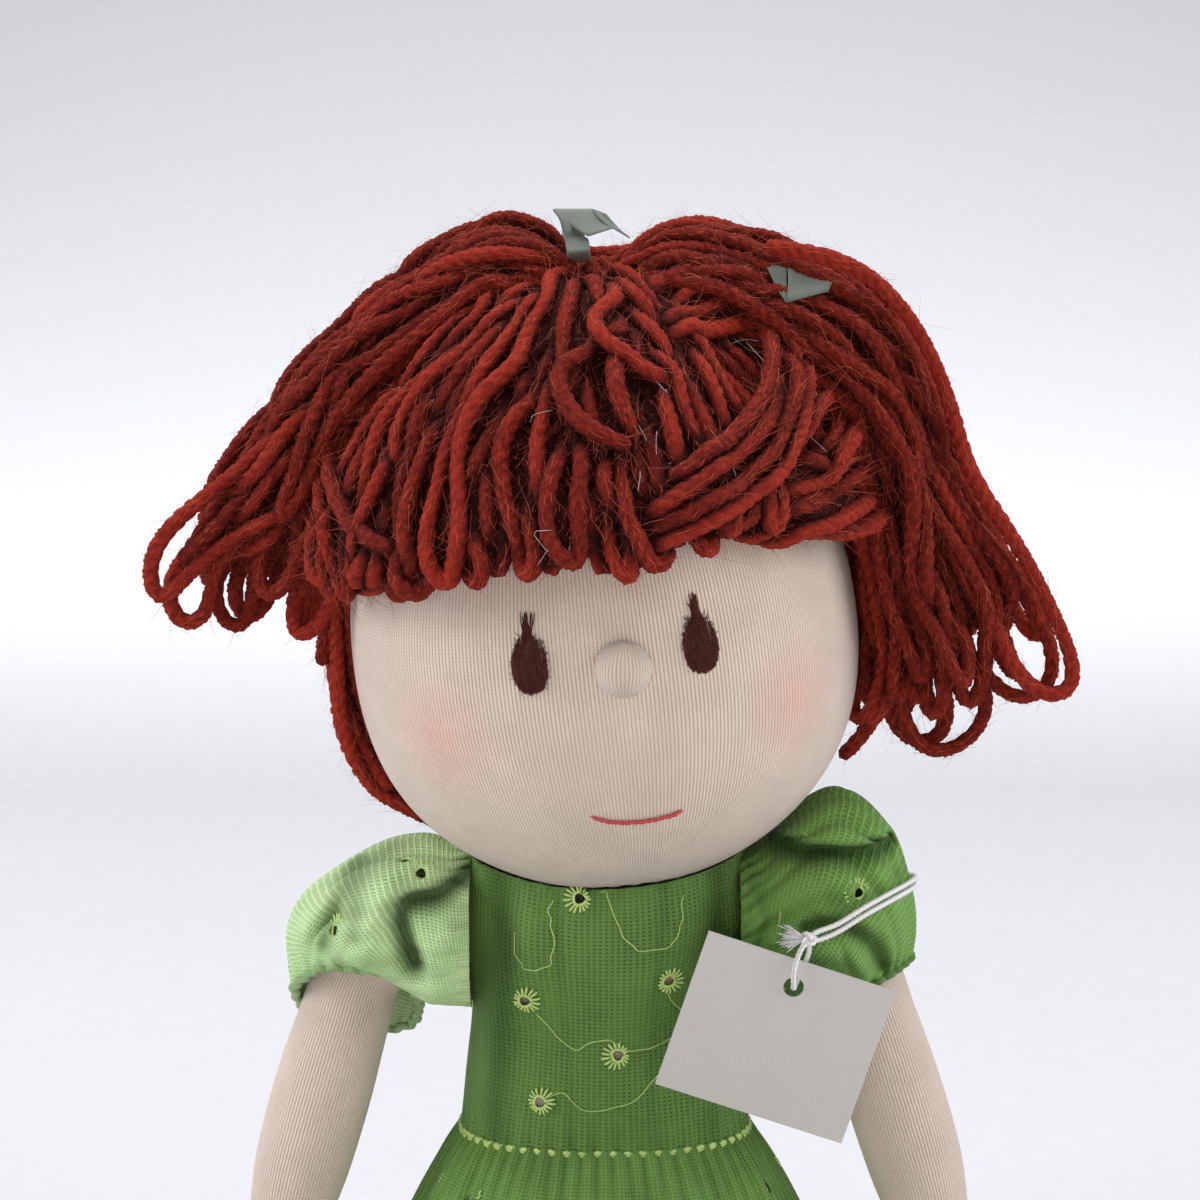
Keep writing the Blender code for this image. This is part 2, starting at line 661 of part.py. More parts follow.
# Sleeve rings: under side (out, up), top side (out, up), depth and how far the back hangs lower, as shares
LEFT_SLEEVE_SHARES = (
    (0.0, -ARMHOLE_SHARE, 0.0, ARMHOLE_SHARE, 0.57, 0.0), (0.02, -0.56, 0.14, 0.66, 0.82, 0.0),
    (0.06, -0.68, 0.36, 1.02, 0.94, 0.0), (0.12, -0.77, 0.61, 1.18, 1.0, 0.0),
    (0.19, -0.83, 0.85, 0.82, 1.0, 0.02), (0.26, -0.865, 0.96, 0.32, 0.90, 0.04),
    (0.325, -0.88, 1.0, -0.10, 0.72, 0.05), (0.385, -0.885, 0.975, -0.436, 0.565, 0.05))
RIGHT_SLEEVE_SHARES = (
    (0.0, -ARMHOLE_SHARE, 0.0, ARMHOLE_SHARE, 0.57, 0.0), (0.03, -0.58, 0.11, 0.56, 0.82, 0.0),
    (0.08, -0.70, 0.26, 0.72, 0.94, 0.0), (0.14, -0.78, 0.47, 0.66, 1.0, 0.04),
    (0.19, -0.82, 0.71, 0.44, 1.0, 0.10), (0.225, -0.845, 0.91, 0.16, 0.94, 0.17),
    (0.25, -0.87, 1.0, -0.18, 0.88, 0.24), (0.27, -0.90, 0.99, -0.56, 0.80, 0.32),
    (0.29, -0.93, 0.955, -0.84, 0.74, 0.36))


def make_sleeve(name, side, width, shares, voile):
    """A puff sleeve of thin cloth: gathered at the armhole, full at the shoulder, open round the arm."""
    start = Vector((side * armhole_reach(), 0, TORSO_HEIGHT - SHOULDER_DROP))
    outer, inner = [], []
    for low_out, low_up, top_out, top_up, deep, hang in shares:
        low = start + Vector((side * low_out * width, 0, low_up * SLEEVE_HALF_HEIGHT))
        top = start + Vector((side * top_out * width, 0, top_up * SLEEVE_HALF_HEIGHT))
        up = (top - low) / 2
        across = Vector((0, deep * SLEEVE_HALF_DEPTH, -hang * SLEEVE_HALF_HEIGHT))
        swell = SLEEVE_FOLD_SHARE * top_out
        for rings, thin in ((outer, 0.0), (inner, CLOTH)):
            rings.append(oval((low + top) / 2, across * (1 - thin / across.length), up * (1 - thin / up.length),
                              SLEEVE_AROUND, SLEEVE_POWER, SLEEVE_FOLDS, swell))
    return hoop(name, outer, inner, voile, location=(side * shoulder_reach(), 0, TORSO_HEIGHT - SHOULDER_DROP))


def parting_slab(frame):
    """The room across the head that the two bunches take, which the fringe and back hair keep out of."""
    bm = bmesh.new()
    bmesh.ops.create_cube(bm, size=1.0)
    half_depth = HAIR_HALF_DEPTH * (1 + BUNCH_LOBE_SHARE) + GAP
    bmesh.ops.scale(bm, verts=bm.verts, vec=(2 * HAIR_REACH_LEFT, 2 * half_depth, 2 * HAIR_REACH_LEFT))
    return cutter(finish(bm, "parting_slab", None, frame))


def hair_patch(name, frame, bearings_deg, edges_deg, thickness, lobes, yarn, tools):
    """A blanket of hair over part of the head, lobed on its outside, thin at its edges."""
    low, high = (math.radians(b) for b in bearings_deg)
    top = math.radians(PATCH_TOP_EL_DEG)
    side_edge, middle_edge = (math.radians(e) for e in edges_deg)

    def place(across, down, outside):
        """A point of the blanket's outside, or under the knit, where the head cuts it."""
        edge = side_edge + (middle_edge - side_edge) * math.sin(math.pi * across)
        elevation = top + (edge - top) * down
        swell = 1 + HAIR_LOBE_SHARE * math.cos(lobes * math.tau * across)
        fade = PATCH_EDGE_SHARE + (1 - PATCH_EDGE_SHARE) * math.sin(math.pi * across) * math.sin(math.pi * down)
        lift = thickness * swell * fade ** 0.5 if outside else -PATCH_SINK
        return head_point(low + (high - low) * across, elevation, lift)

    bm = bmesh.new()
    bmesh.ops.create_grid(bm, x_segments=PATCH_COLUMNS, y_segments=PATCH_ROWS, size=0.5)
    raised = set(bmesh.ops.extrude_face_region(bm, geom=bm.faces[:], use_keep_orig=True)["geom"])
    for vert in bm.verts:
        vert.co = place(0.5 + vert.co.x, 0.5 - vert.co.y, vert in raised)
    bmesh.ops.triangulate(bm, faces=bm.faces[:])
    hair = finish(bm, name, yarn, frame, sharp_deg=60.0)
    cut(hair, *tools)


# Bunch rings: how far out, height of the middle, half height and half depth, as shares
LEFT_BUNCH_SHARES = (
    (0.06, 1.46, 0.19, 0.62), (0.21, 1.57, 0.38, 0.86), (0.35, 1.38, 0.46, 0.96), (0.44, 1.00, 0.80, 1.0),
    (0.52, 0.50, 1.20, 1.0), (0.62, 0.44, 1.12, 1.0), (0.73, 0.27, 0.92, 0.96), (0.80, 0.02, 0.62, 0.86),
    (0.88, -0.18, 0.38, 0.72), (0.96, -0.32, 0.19, 0.44))
RIGHT_BUNCH_SHARES = (
    (0.05, 1.58, 0.36, 0.70), (0.18, 1.57, 0.42, 0.88), (0.32, 1.42, 0.44, 0.96), (0.46, 1.16, 0.50, 1.0),
    (0.58, 0.80, 0.62, 1.0), (0.70, 0.72, 0.48, 0.98), (0.82, 0.60, 0.38, 0.90), (0.91, 0.54, 0.28, 0.72),
    (0.97, 0.55, 0.13, 0.42))


def make_bunch(name, side, reach, shares, frame, yarn, head_tool):
    """A bunch of hair that stands up at the parting, sweeps out over the side and hangs."""
    rings = []
    for along, rise, high, deep in shares:
        centre = Vector((side * along * reach, 0, rise * HAIR_HALF_HEIGHT))
        across, up = Vector((0, deep * HAIR_HALF_DEPTH, 0)), Vector((0, 0, high * HAIR_HALF_HEIGHT))
        rings.append(oval(centre, across, up, BUNCH_AROUND, BUNCH_POWER, BUNCH_LOBES, BUNCH_LOBE_SHARE))
    near = sum(rings[0], Vector()) / len(rings[0])
    last = sum(rings[-1], Vector()) / len(rings[-1])
    bunch = solid(name, rings, near, Vector((side * reach, last.y, last.z)), yarn, frame)
    cut(bunch, head_tool)
    return bunch


def make_ribbon(name, frame, place, turn_deg, lean_deg, satin, bunch_tool):
    """A short satin loop, a flat band bent round on itself and seated in the hair."""
    bm = bmesh.new()
    half = Vector((0, RIBBON_WIDTH / 2, 0))
    rings = []
    for i in range(RIBBON_AROUND):
        c, s = math.cos(math.tau * i / RIBBON_AROUND), math.sin(math.tau * i / RIBBON_AROUND)
        out = Vector((c * RIBBON_LOOP_HALF_LENGTH, 0, s * RIBBON_LOOP_HALF_HEIGHT))
        square = Vector((c / RIBBON_LOOP_HALF_LENGTH, 0, s / RIBBON_LOOP_HALF_HEIGHT)).normalized()
        inside = out - square * RIBBON_THICKNESS
        rings.append([out + half, out - half, inside - half, inside + half])
    loft(bm, rings + rings[:1])
    bmesh.ops.remove_doubles(bm, verts=bm.verts, dist=WELD)
    turn = Matrix.Rotation(math.radians(turn_deg), 3, "Z") @ Matrix.Rotation(math.radians(lean_deg), 3, "Y")
    bmesh.ops.rotate(bm, verts=bm.verts, matrix=turn)
    bmesh.ops.translate(bm, verts=bm.verts, vec=place)
    ribbon = finish(bm, name, satin, frame)
    cut(ribbon, bunch_tool)


# Tag: places of the knot and the string's route, chosen by hand
KNOT_PLACE = (0.0461, -0.0330, 0.1152)
CARD_HOLE_PLACE = (0.0428, -0.0334, 0.1041)
STRING_ROUTE = ((0.0530, -0.0308, 0.1182), (0.0590, -0.0275, 0.1210), (0.0650, -0.0222, 0.1228),
                (0.0697, -0.0150, 0.1232), (0.0725, -0.0060, 0.1222), (0.0733, 0.0030, 0.1205),
                (0.0722, 0.0110, 0.1188))
STRAND_STEP = (0.0, 0.0004, -0.0020)
UPPER_START_TOWARD = (0.80, 0.25, 0.62)
LOWER_START_TOWARD = (0.90, 0.30, -0.15)
LOOP_ROUTE = ((0.0446, -0.0344, 0.1136), (0.0434, -0.0352, 0.1110), (0.0427, -0.0356, 0.1080),
              (0.0427, -0.0352, 0.1052), (0.0428, -0.0340, 0.1041), (0.0431, -0.0326, 0.1040),
              (0.0440, -0.0314, 0.1056), (0.0452, -0.0310, 0.1085), (0.0462, -0.0313, 0.1112),
              (0.0466, -0.0318, 0.1130))


def make_tag(card_paper, cotton):
    """The blank card on its loop, the knot above it and the two strands to the sleeve."""
    knot = Vector(KNOT_PLACE)
    bm = bmesh.new()
    bmesh.ops.create_cube(bm, size=1.0)
    bmesh.ops.scale(bm, verts=bm.verts, vec=(CARD_WIDTH, CARD_THICKNESS, CARD_HEIGHT))
    bmesh.ops.translate(bm, verts=bm.verts, vec=(0, 0, CARD_HOLE_DROP - CARD_HEIGHT / 2))
    roll = Matrix.Rotation(math.radians(CARD_ROLL_DEG), 3, "Y")
    bmesh.ops.rotate(bm, verts=bm.verts, matrix=roll)
    bmesh.ops.translate(bm, verts=bm.verts, vec=CARD_HOLE_PLACE)
    card = finish(bm, "tag_card", card_paper, location=knot, sharp_deg=30.0)
    bm = bmesh.new()
    bmesh.ops.create_cone(bm, cap_ends=True, segments=CARD_HOLE_AROUND, radius1=CARD_HOLE_RADIUS,
                          radius2=CARD_HOLE_RADIUS, depth=OVERRUN)
    bmesh.ops.rotate(bm, verts=bm.verts, matrix=Matrix.Rotation(math.pi / 2, 3, "X"))
    bmesh.ops.translate(bm, verts=bm.verts, vec=CARD_HOLE_PLACE)
    cut(card, cutter(finish(bm, "card_hole", None)))
    bm = bmesh.new()
    bmesh.ops.create_icosphere(bm, subdivisions=2, radius=KNOT_RADIUS)
    bmesh.ops.translate(bm, verts=bm.verts, vec=knot)
    finish(bm, "tag_knot", cotton, location=knot)
    tube("tag_loop", catmull(LOOP_ROUTE, 2), STRING_RADIUS, cotton)
    for name, toward, step in (("tag_string_upper", UPPER_START_TOWARD, Vector()),
                               ("tag_string_lower", LOWER_START_TOWARD, Vector(STRAND_STEP))):
        start = knot + Vector(toward).normalized() * (KNOT_RADIUS + 2 * GAP)
        route = [tuple(start)] + [tuple(Vector(place) + step) for place in STRING_ROUTE]
        tube(name, catmull(route, 2), STRING_RADIUS, cotton)


def clear_scene():
    """An empty scene to build in."""
    for obj in list(bpy.data.objects):
        bpy.data.objects.remove(obj)


def main():
    clear_scene()
    knit = material("knit", (0.83, 0.73, 0.64), 0.85)
    filling = material("filling", (0.93, 0.93, 0.91), 0.95)
    brown = material("eye_thread", (0.10, 0.035, 0.02), 0.55)
    red = material("mouth_thread", (0.70, 0.12, 0.13), 0.55)
    voile = material("voile", (0.24, 0.55, 0.14), 0.7)
    yarn = material("yarn", (0.30, 0.055, 0.022), 0.9)
    satin = material("satin", (0.22, 0.31, 0.25), 0.4)
    felt = material("shoe_felt", (0.22, 0.09, 0.05), 0.9)
    paper = material("card", (0.72, 0.71, 0.72), 0.8)
    cotton = material("cotton", (0.85, 0.84, 0.84), 0.85)

    frame = bpy.data.objects.new("head_frame", None)
    bpy.context.collection.objects.link(frame)
    frame.location = (0, 0, TORSO_HEIGHT + HEAD_CENTRE_RISE)
    frame.rotation_euler = (0, math.radians(HEAD_TILT_DEG), math.radians(HEAD_YAW_DEG))

    head_tool = make_head(frame, knit, filling)
    make_eye(frame, "eye_right", -EYE_BEARING_DEG, brown)
    make_eye(frame, "eye_left", EYE_BEARING_DEG, brown)
    make_nose(frame, knit, head_tool)
    make_mouth(frame, red)

    tools = (head_tool, parting_slab(frame))
    for name, bearings_deg, edges_deg, thickness, lobes in (
            ("hair_fringe", FRINGE_BEARINGS_DEG, FRINGE_EDGES_DEG, FRINGE_THICKNESS, FRINGE_LOBES),
            ("hair_back", BACK_BEARINGS_DEG, BACK_EDGES_DEG, BACK_THICKNESS, BACK_LOBES)):
        hair_patch(name, frame, bearings_deg, edges_deg, thickness, lobes, yarn, tools)
    for word, side, reach, shares, place, lean_deg in (
            ("left", 1, HAIR_REACH_LEFT, LEFT_BUNCH_SHARES, LEFT_RIBBON_PLACE, LEFT_RIBBON_LEAN_DEG),
            ("right", -1, HAIR_REACH_RIGHT, RIGHT_BUNCH_SHARES, RIGHT_RIBBON_PLACE, RIGHT_RIBBON_LEAN_DEG)):
        bunch = make_bunch("hair_bunch_" + word, side, reach, shares, frame, yarn, head_tool)
        make_ribbon("ribbon_" + word, frame, place, -side * RIBBON_TURN_DEG, lean_deg, satin, grown(bunch, GAP))

    neck_tool = make_neck(knit, head_tool)
    make_torso(knit, filling, (*hip_tools(), neck_tool))
    for word, side in (("left", 1), ("right", -1)):
        leg_tool = make_leg("leg_" + word, side, knit, filling)
        make_shoe("shoe_" + word, side, leg_tool, felt)

    make_bodice(voile)
    make_skirt(voile)
    for word, side, reach, width, shares in (
            ("left", 1, LEFT_ARM_REACH, LEFT_SLEEVE_WIDTH, LEFT_SLEEVE_SHARES),
            ("right", -1, RIGHT_ARM_REACH, RIGHT_SLEEVE_WIDTH, RIGHT_SLEEVE_SHARES)):
        centre = Vector((side * shoulder_reach(), 0, TORSO_HEIGHT - SHOULDER_DROP))
        limb("arm_" + word, arm_rows(side, reach), Vector((0, 1, 0)), ARM_AROUND, knit, filling, centre)
        make_sleeve("sleeve_" + word, side, width, shares, voile)
    make_tag(paper, cotton)


main()
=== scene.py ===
"""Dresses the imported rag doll: knit, yarn hair, a voile dress and a tag on its string. Metres, +Z up."""

import math

import bmesh
import bpy
import numpy as np
from mathutils import Matrix, Vector


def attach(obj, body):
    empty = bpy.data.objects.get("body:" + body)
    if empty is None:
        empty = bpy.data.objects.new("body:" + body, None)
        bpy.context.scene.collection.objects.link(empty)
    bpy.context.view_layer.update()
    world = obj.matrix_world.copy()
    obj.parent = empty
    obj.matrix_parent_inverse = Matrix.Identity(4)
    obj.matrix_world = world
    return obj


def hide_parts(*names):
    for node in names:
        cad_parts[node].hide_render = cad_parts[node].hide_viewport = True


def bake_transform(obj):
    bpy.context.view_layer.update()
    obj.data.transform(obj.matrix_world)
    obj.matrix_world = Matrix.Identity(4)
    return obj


bl_info = {
    "name": "Rag Doll Look",
    "version": (1, 0, 0),
    "blender": (4, 5, 0),
    "location": "View3D > Sidebar > Rag Doll",
    "description": "Knit, yarn hair, voile dress and tag for the packed rag doll",
    "category": "Object",
}

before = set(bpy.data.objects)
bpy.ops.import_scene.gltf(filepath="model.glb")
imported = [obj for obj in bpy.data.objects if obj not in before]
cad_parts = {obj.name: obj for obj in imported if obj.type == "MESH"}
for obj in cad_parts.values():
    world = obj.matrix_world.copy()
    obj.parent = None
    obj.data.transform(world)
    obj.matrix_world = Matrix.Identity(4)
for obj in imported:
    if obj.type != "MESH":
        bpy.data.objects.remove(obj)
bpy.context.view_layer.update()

MM = 0.001
TURN = 2 * math.pi
# Points nearer than this are one: of a woven sheet, and of a CAD solid
WELD, SOLID_WELD = 1e-7, 1e-6
# Keeps a division by a length or a share of nothing from failing
TINY, NO_SHARE = 1e-9, 1e-6

# Head, as the CAD has it
HEAD_HALF = (0.059, 0.057)
CROWN_RISE, CHIN_DROP = 0.066, 0.057
HEAD_POWER = 2.1
HEAD_PLACE = np.array((0.0, 0.0, 0.178))
HEAD_TURN = np.array(Matrix.Rotation(math.radians(3.0), 3, "Z") @ Matrix.Rotation(math.radians(-6.3), 3, "Y"))

# Trunk, as the CAD has it
TORSO_HEIGHT, TORSO_HALF_WIDTH, TORSO_HALF_DEPTH = 0.115, 0.0370, 0.0250
TORSO_SET_BACK = 0.008
TORSO_POWER = 2.3
WAIST_HEIGHT = 0.060
SHOULDER_HEIGHT = 0.113
HIP_ACROSS = 0.0205
# Up the trunk: height, half width and half depth, as shares
TORSO_SHARES = (
    (0.0, 0.80, 0.78), (0.03, 0.92, 0.92), (0.14, 1.0, 1.0), (0.32, 1.0, 1.0), (0.52, 0.88, 0.88),
    (0.72, 0.81, 0.80), (0.86, 0.80, 0.77), (0.94, 0.76, 0.72), (0.98, 0.62, 0.64), (0.993, 0.47, 0.55),
    (1.0, 0.31, 0.45))


# Curves and grids

def grid(around, rows):
    """U across and V along, from 0 to 1, ready to be spread over each other."""
    return np.linspace(0, 1, around + 1)[None], np.linspace(0, 1, rows + 1)[:, None]


def together(*parts):
    """Values spread over each other, as one array's last axis."""
    return np.stack(np.broadcast_arrays(*parts), axis=-1)


def unit(vectors):
    """Vectors made one long."""
    return vectors / (np.linalg.norm(vectors, axis=-1)[..., None] + TINY)


def poled(places):
    """The grid with its first and last rows drawn in to a point."""
    places[0], places[-1] = places[0].mean(0), places[-1].mean(0)
    return places


def catmull(points, steps):
    """Points read off a smooth curve through the given ones."""
    p = np.asarray(points, float)
    q = np.vstack((2 * p[0] - p[1], p, 2 * p[-1] - p[-2]))
    t = np.linspace(0, 1, steps, endpoint=False)[:, None]
    out = []
    for i in range(len(p) - 1):
        a, b, c, d = q[i:i + 4]
        out.append(0.5 * (2 * b + (c - a) * t + (2 * a - 5 * b + 4 * c - d) * t ** 2
                          + (3 * b - a - 3 * c + d) * t ** 3))
    return np.vstack(out + [p[-1:]])


def lengths(route):
    """How far along the route each point lies."""
    return np.concatenate(([0.0], np.cumsum(np.linalg.norm(np.diff(route, axis=0), axis=1))))


def evenly(points, step):
    """The route again with points an even step apart."""
    along = lengths(points)
    want = np.linspace(0, along[-1], max(4, int(round(along[-1] / step))) + 1)
    return np.stack([np.interp(want, along, points[:, k]) for k in range(points.shape[1])], axis=1)


def smooth_route(points, step):
    """An even route on a smooth curve through the points."""
    return evenly(catmull(points, 10), step)


def frames(route):
    """Two unit vectors square to the route at each point, carried along it without twist."""
    tangents = np.gradient(route, axis=0)
    tangents /= np.linalg.norm(tangents, axis=1)[:, None] + 1e-12
    normals = np.empty_like(route)
    n = np.eye(3)[int(np.argmin(np.abs(tangents[0])))]
    for i, t in enumerate(tangents):
        n = n - t * (t @ n)
        n = n / math.sqrt(n @ n)
        normals[i] = n
    return normals, np.cross(tangents, normals)


def cord_sheet(route, radius, sides, lobes=0, groove=0.0, pitch=0.0, start=0.0):
    """Places and UVs of a cord along a route: round, or plied where it has lobes."""
    across, up = frames(route)
    along = lengths(route)
    angle = np.linspace(0, TURN, sides + 1)
    radius = np.broadcast_to(radius, along.shape)
    left = np.minimum(along, along[-1] - along) / radius
    cap = np.sqrt(np.clip(1 - (1 - np.clip(left, 0, 1)) ** 2, 0, 1))
    profile = 1 - groove * (0.5 + 0.5 * np.cos(lobes * angle)) if lobes else np.ones_like(angle)
    size = (radius * cap)[:, None] * profile[None]
    turned = angle[None] + start + (TURN * along / pitch if pitch else along * 0)[:, None]
    places = (route[:, None] + across[:, None] * (size * np.cos(turned))[..., None]
              + up[:, None] * (size * np.sin(turned))[..., None])
    full_turn = pitch or TURN * float(radius.mean())
    return places, together(angle[None] / TURN, (along / full_turn)[:, None])


def mesh_from(bm, name):
    """The bmesh's shape as a new mesh; the bmesh is let go."""
    mesh = bpy.data.meshes.new(name)
    bm.to_mesh(mesh)
    bm.free()
    return mesh


def woven(name, sheets, values=None, closed=True):
    """One mesh of several grids; each sheet is its places and UVs, in rows along and columns across."""
    bm = bmesh.new()
    bm.loops.layers.uv.new("UVMap")
    for places, _ in sheets:
        rows, columns = places.shape[:2]
        bmesh.ops.create_grid(bm, x_segments=columns - 1, y_segments=rows - 1, size=0.5, calc_uvs=True)
    mesh = mesh_from(bm, name)
    mesh.vertices.foreach_set("co", np.concatenate([p.reshape(-1) for p, _ in sheets]).astype(np.float32))
    corners = np.empty(len(mesh.loops), np.int32)
    mesh.loops.foreach_get("vertex_index", corners)
    uvs = np.concatenate([u.reshape(-1, 2) for _, u in sheets])[corners]
    mesh.uv_layers[0].data.foreach_set("uv", uvs.reshape(-1).astype(np.float32))
    for word, shares in (values or {}).items():
        layer = mesh.attributes.new(word, "FLOAT", "POINT")
        flat = [np.broadcast_to(share, p.shape[:2]).reshape(-1) for (p, _), share in zip(sheets, shares)]
        layer.data.foreach_set("value", np.concatenate(flat).astype(np.float32))
    bm = bmesh.new()
    bm.from_mesh(mesh)
    bmesh.ops.remove_doubles(bm, verts=bm.verts, dist=WELD)
    bmesh.ops.dissolve_degenerate(bm, edges=bm.edges, dist=WELD)
    if closed:
        bmesh.ops.recalc_face_normals(bm, faces=bm.faces)
    bm.to_mesh(mesh)
    bm.free()
    return mesh


def piece(name, mesh, kind, body=None, stands_for=()):
    """A shown object from a mesh, with its finish, the body it rides on and the nodes it stands for."""
    obj = bpy.data.objects.new(name, mesh)
    bpy.context.scene.collection.objects.link(obj)
    mesh.materials.clear()
    mesh.materials.append(finish(kind))
    mesh.shade_smooth()
    if body is not None:
        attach(obj, body)
    if stands_for:
        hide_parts(*stands_for)
    return obj


def sewn(name, sheets, kind, body=None, stands_for=(), closed=True):
    """A shown object woven from sheets."""
    return piece(name, woven(name, sheets, closed=closed), kind, body, stands_for)


def thickened(obj, thickness):
    """The object's cloth given its thickness, half to each side."""
    thick = obj.modifiers.new("Thickness", "SOLIDIFY")
    thick.thickness, thick.offset = thickness, 0.0
    return obj


# Shapes that the CAD has too

def head_halves(up):
    """The head's half sizes, above or below its middle."""
    high = np.where(up > 0, CROWN_RISE, CHIN_DROP)
    return np.stack((np.full_like(high, HEAD_HALF[0]), np.full_like(high, HEAD_HALF[1]), high), axis=-1)


def on_head(bearing_deg, elevation_deg, lift=0.0):
    """Points on the head's knit, lifted square off it; bearing 0 faces -Y and grows towards +X."""
    b, e = np.radians(bearing_deg), np.radians(elevation_deg)
    b, e, lift = np.broadcast_arrays(b, e, lift)
    way = np.stack((np.sin(b) * np.cos(e), -np.cos(b) * np.cos(e), np.sin(e)), axis=-1)
    size = (np.abs(way) ** HEAD_POWER).sum(-1) ** (-1 / HEAD_POWER)
    half = head_halves(way[..., 2])
    place = way * half * size[..., None]
    slope = np.sign(place) * (np.abs(place) / half) ** (HEAD_POWER - 1) / half
    slope /= np.linalg.norm(slope, axis=-1)[..., None]
    return (place + slope * lift[..., None]) @ HEAD_TURN.T + HEAD_PLACE


def clear_of_head(points, lift):
    """Points inside the head, or closer to its knit than lift, moved straight out."""
    local = (points - HEAD_PLACE) @ HEAD_TURN
    level = ((np.abs(local) / (head_halves(local[:, 2]) + lift)) ** HEAD_POWER).sum(-1) ** (1 / HEAD_POWER)
    grow = np.where(level < 1, 1 / np.maximum(level, NO_SHARE), 1)
    return (local * grow[:, None]) @ HEAD_TURN.T + HEAD_PLACE


def unit_oval(angle, power):
    """Points round an oval of unit half axes, squared by power."""
    c, s = np.cos(angle), np.sin(angle)
    size = (np.abs(c) ** power + np.abs(s) ** power) ** (-1 / power)
    return c * size, s * size


def torso_row(height):
    """Centre's set back and half sizes of the trunk at a height."""
    rows = catmull(TORSO_SHARES, 6)
    share = np.clip(np.asarray(height) / TORSO_HEIGHT, 0, 1)
    wide = np.interp(share, rows[:, 0], rows[:, 1]) * TORSO_HALF_WIDTH
    deep = np.interp(share, rows[:, 0], rows[:, 2]) * TORSO_HALF_DEPTH
    return TORSO_SET_BACK * (1 - share), wide, deep


def ease(low, high, value):
    """Smooth step from 0 at low to 1 at high."""
    t = np.clip((value - low) / (high - low), 0, 1)
    return t * t * (3 - 2 * t)


# Materials

class Finish:
    """Builds one node material round a principled shader."""

    def __init__(self, name, roughness, **sockets):
        self.material = bpy.data.materials.new(name)
        self.material.use_nodes = True
        self.tree = self.material.node_tree
        self.shader = self.tree.nodes["Principled BSDF"]
        self.shader.inputs["Roughness"].default_value = roughness
        for key, value in sockets.items():
            self.shader.inputs[key.replace("_", " ")].default_value = value

    def put(self, socket, value):
        """Links a socket, or sets its value."""
        if isinstance(value, bpy.types.NodeSocket):
            self.tree.links.new(value, socket)
        else:
            socket.default_value = value

    def node(self, kind, inputs=(), out=0, **settings):
        """A new node with its settings and inputs, as the output asked for."""
        made = self.tree.nodes.new(kind)
        for key, value in settings.items():
            setattr(made, key, value)
        for key, value in dict(inputs).items():
            self.put(made.inputs[key], value)
        return made.outputs[out]

    def maths(self, operation, a, b=0.0):
        return self.node("ShaderNodeMath", {0: a, 1: b}, operation=operation)

    def uv(self):
        return self.node("ShaderNodeUVMap", uv_map="UVMap")

    def split(self, vector):
        """The three parts of a vector."""
        made = self.tree.nodes.new("ShaderNodeSeparateXYZ")
        self.put(made.inputs[0], vector)
        return made.outputs

    def joined(self, x, y, z=0.0):
        return self.node("ShaderNodeCombineXYZ", {0: x, 1: y, 2: z})

    def place(self):
        return self.node("ShaderNodeTexCoord", out="Object")

    def noise(self, vector, scale, detail=2.0):
        return self.node("ShaderNodeTexNoise", {"Vector": vector, "Scale": scale, "Detail": detail})

    def wave(self, value, turns):
        """0 to 1 and back, so many times in each unit."""
        turned = self.maths("SINE", self.product(value, turns * TURN))
        return self.maths("ADD", self.product(turned, 0.5), 0.5)

    def mix(self, factor, low, high):
        """A colour between two, each a colour or a socket."""
        made = self.tree.nodes.new("ShaderNodeMix")
        made.data_type = "RGBA"
        self.put(made.inputs[0], factor)
        for socket, value in ((made.inputs[6], low), (made.inputs[7], high)):
            self.put(socket, value if isinstance(value, bpy.types.NodeSocket) else (*value, 1.0))
        return made.outputs[2]

    def span(self, value, low, high, to_low=0.0, to_high=1.0):
        """A value's range mapped to another."""
        return self.node("ShaderNodeMapRange", {0: value, 1: low, 2: high, 3: to_low, 4: to_high})

    def tinged(self, base, other, value, low, high, weight):
        """The base colour, with more of another one as a value goes from low to high."""
        return self.mix(self.span(value, low, high, 0.0, weight), base, other)

    def attribute(self, name):
        return self.node("ShaderNodeAttribute", attribute_name=name, out="Fac")

    def product(self, a, b):
        return self.maths("MULTIPLY", a, b)

    def colour(self, value):
        self.put(self.shader.inputs["Base Color"], value)

    def bump(self, height, distance, strength=1.0):
        made = self.node("ShaderNodeBump", {"Height": height, "Distance": distance, "Strength": strength})
        self.put(self.shader.inputs["Normal"], made)


# Painted shade: the dark green that the voile is given in its folds and creases
FOLD_SHADE_COLOUR = (0.026, 0.085, 0.010)
# Painted light: the loose fibres are a brighter orange than the yarn, for the light that shines through them
LIT_FUZZ_COLOUR = (0.50, 0.088, 0.042)
FILLING_COLOUR = (0.93, 0.93, 0.91)
FLOOR_COLOUR = (0.67, 0.68, 0.72)
# Cheeks: bearings and elevation, and how wide and strong the rouge is
CHEEK_BEARINGS, CHEEK_ELEVATION, CHEEK_RADIUS, ROUGE_STRENGTH = (-43.0, 42.0), -10.0, 0.017, 0.55


def shade(colour, share):
    """A colour made darker or lighter."""
    return tuple(min(1.0, c * share) for c in colour)


def whitened(colour, share):
    """A colour made paler."""
    return tuple(c + (1 - c) * share for c in colour)


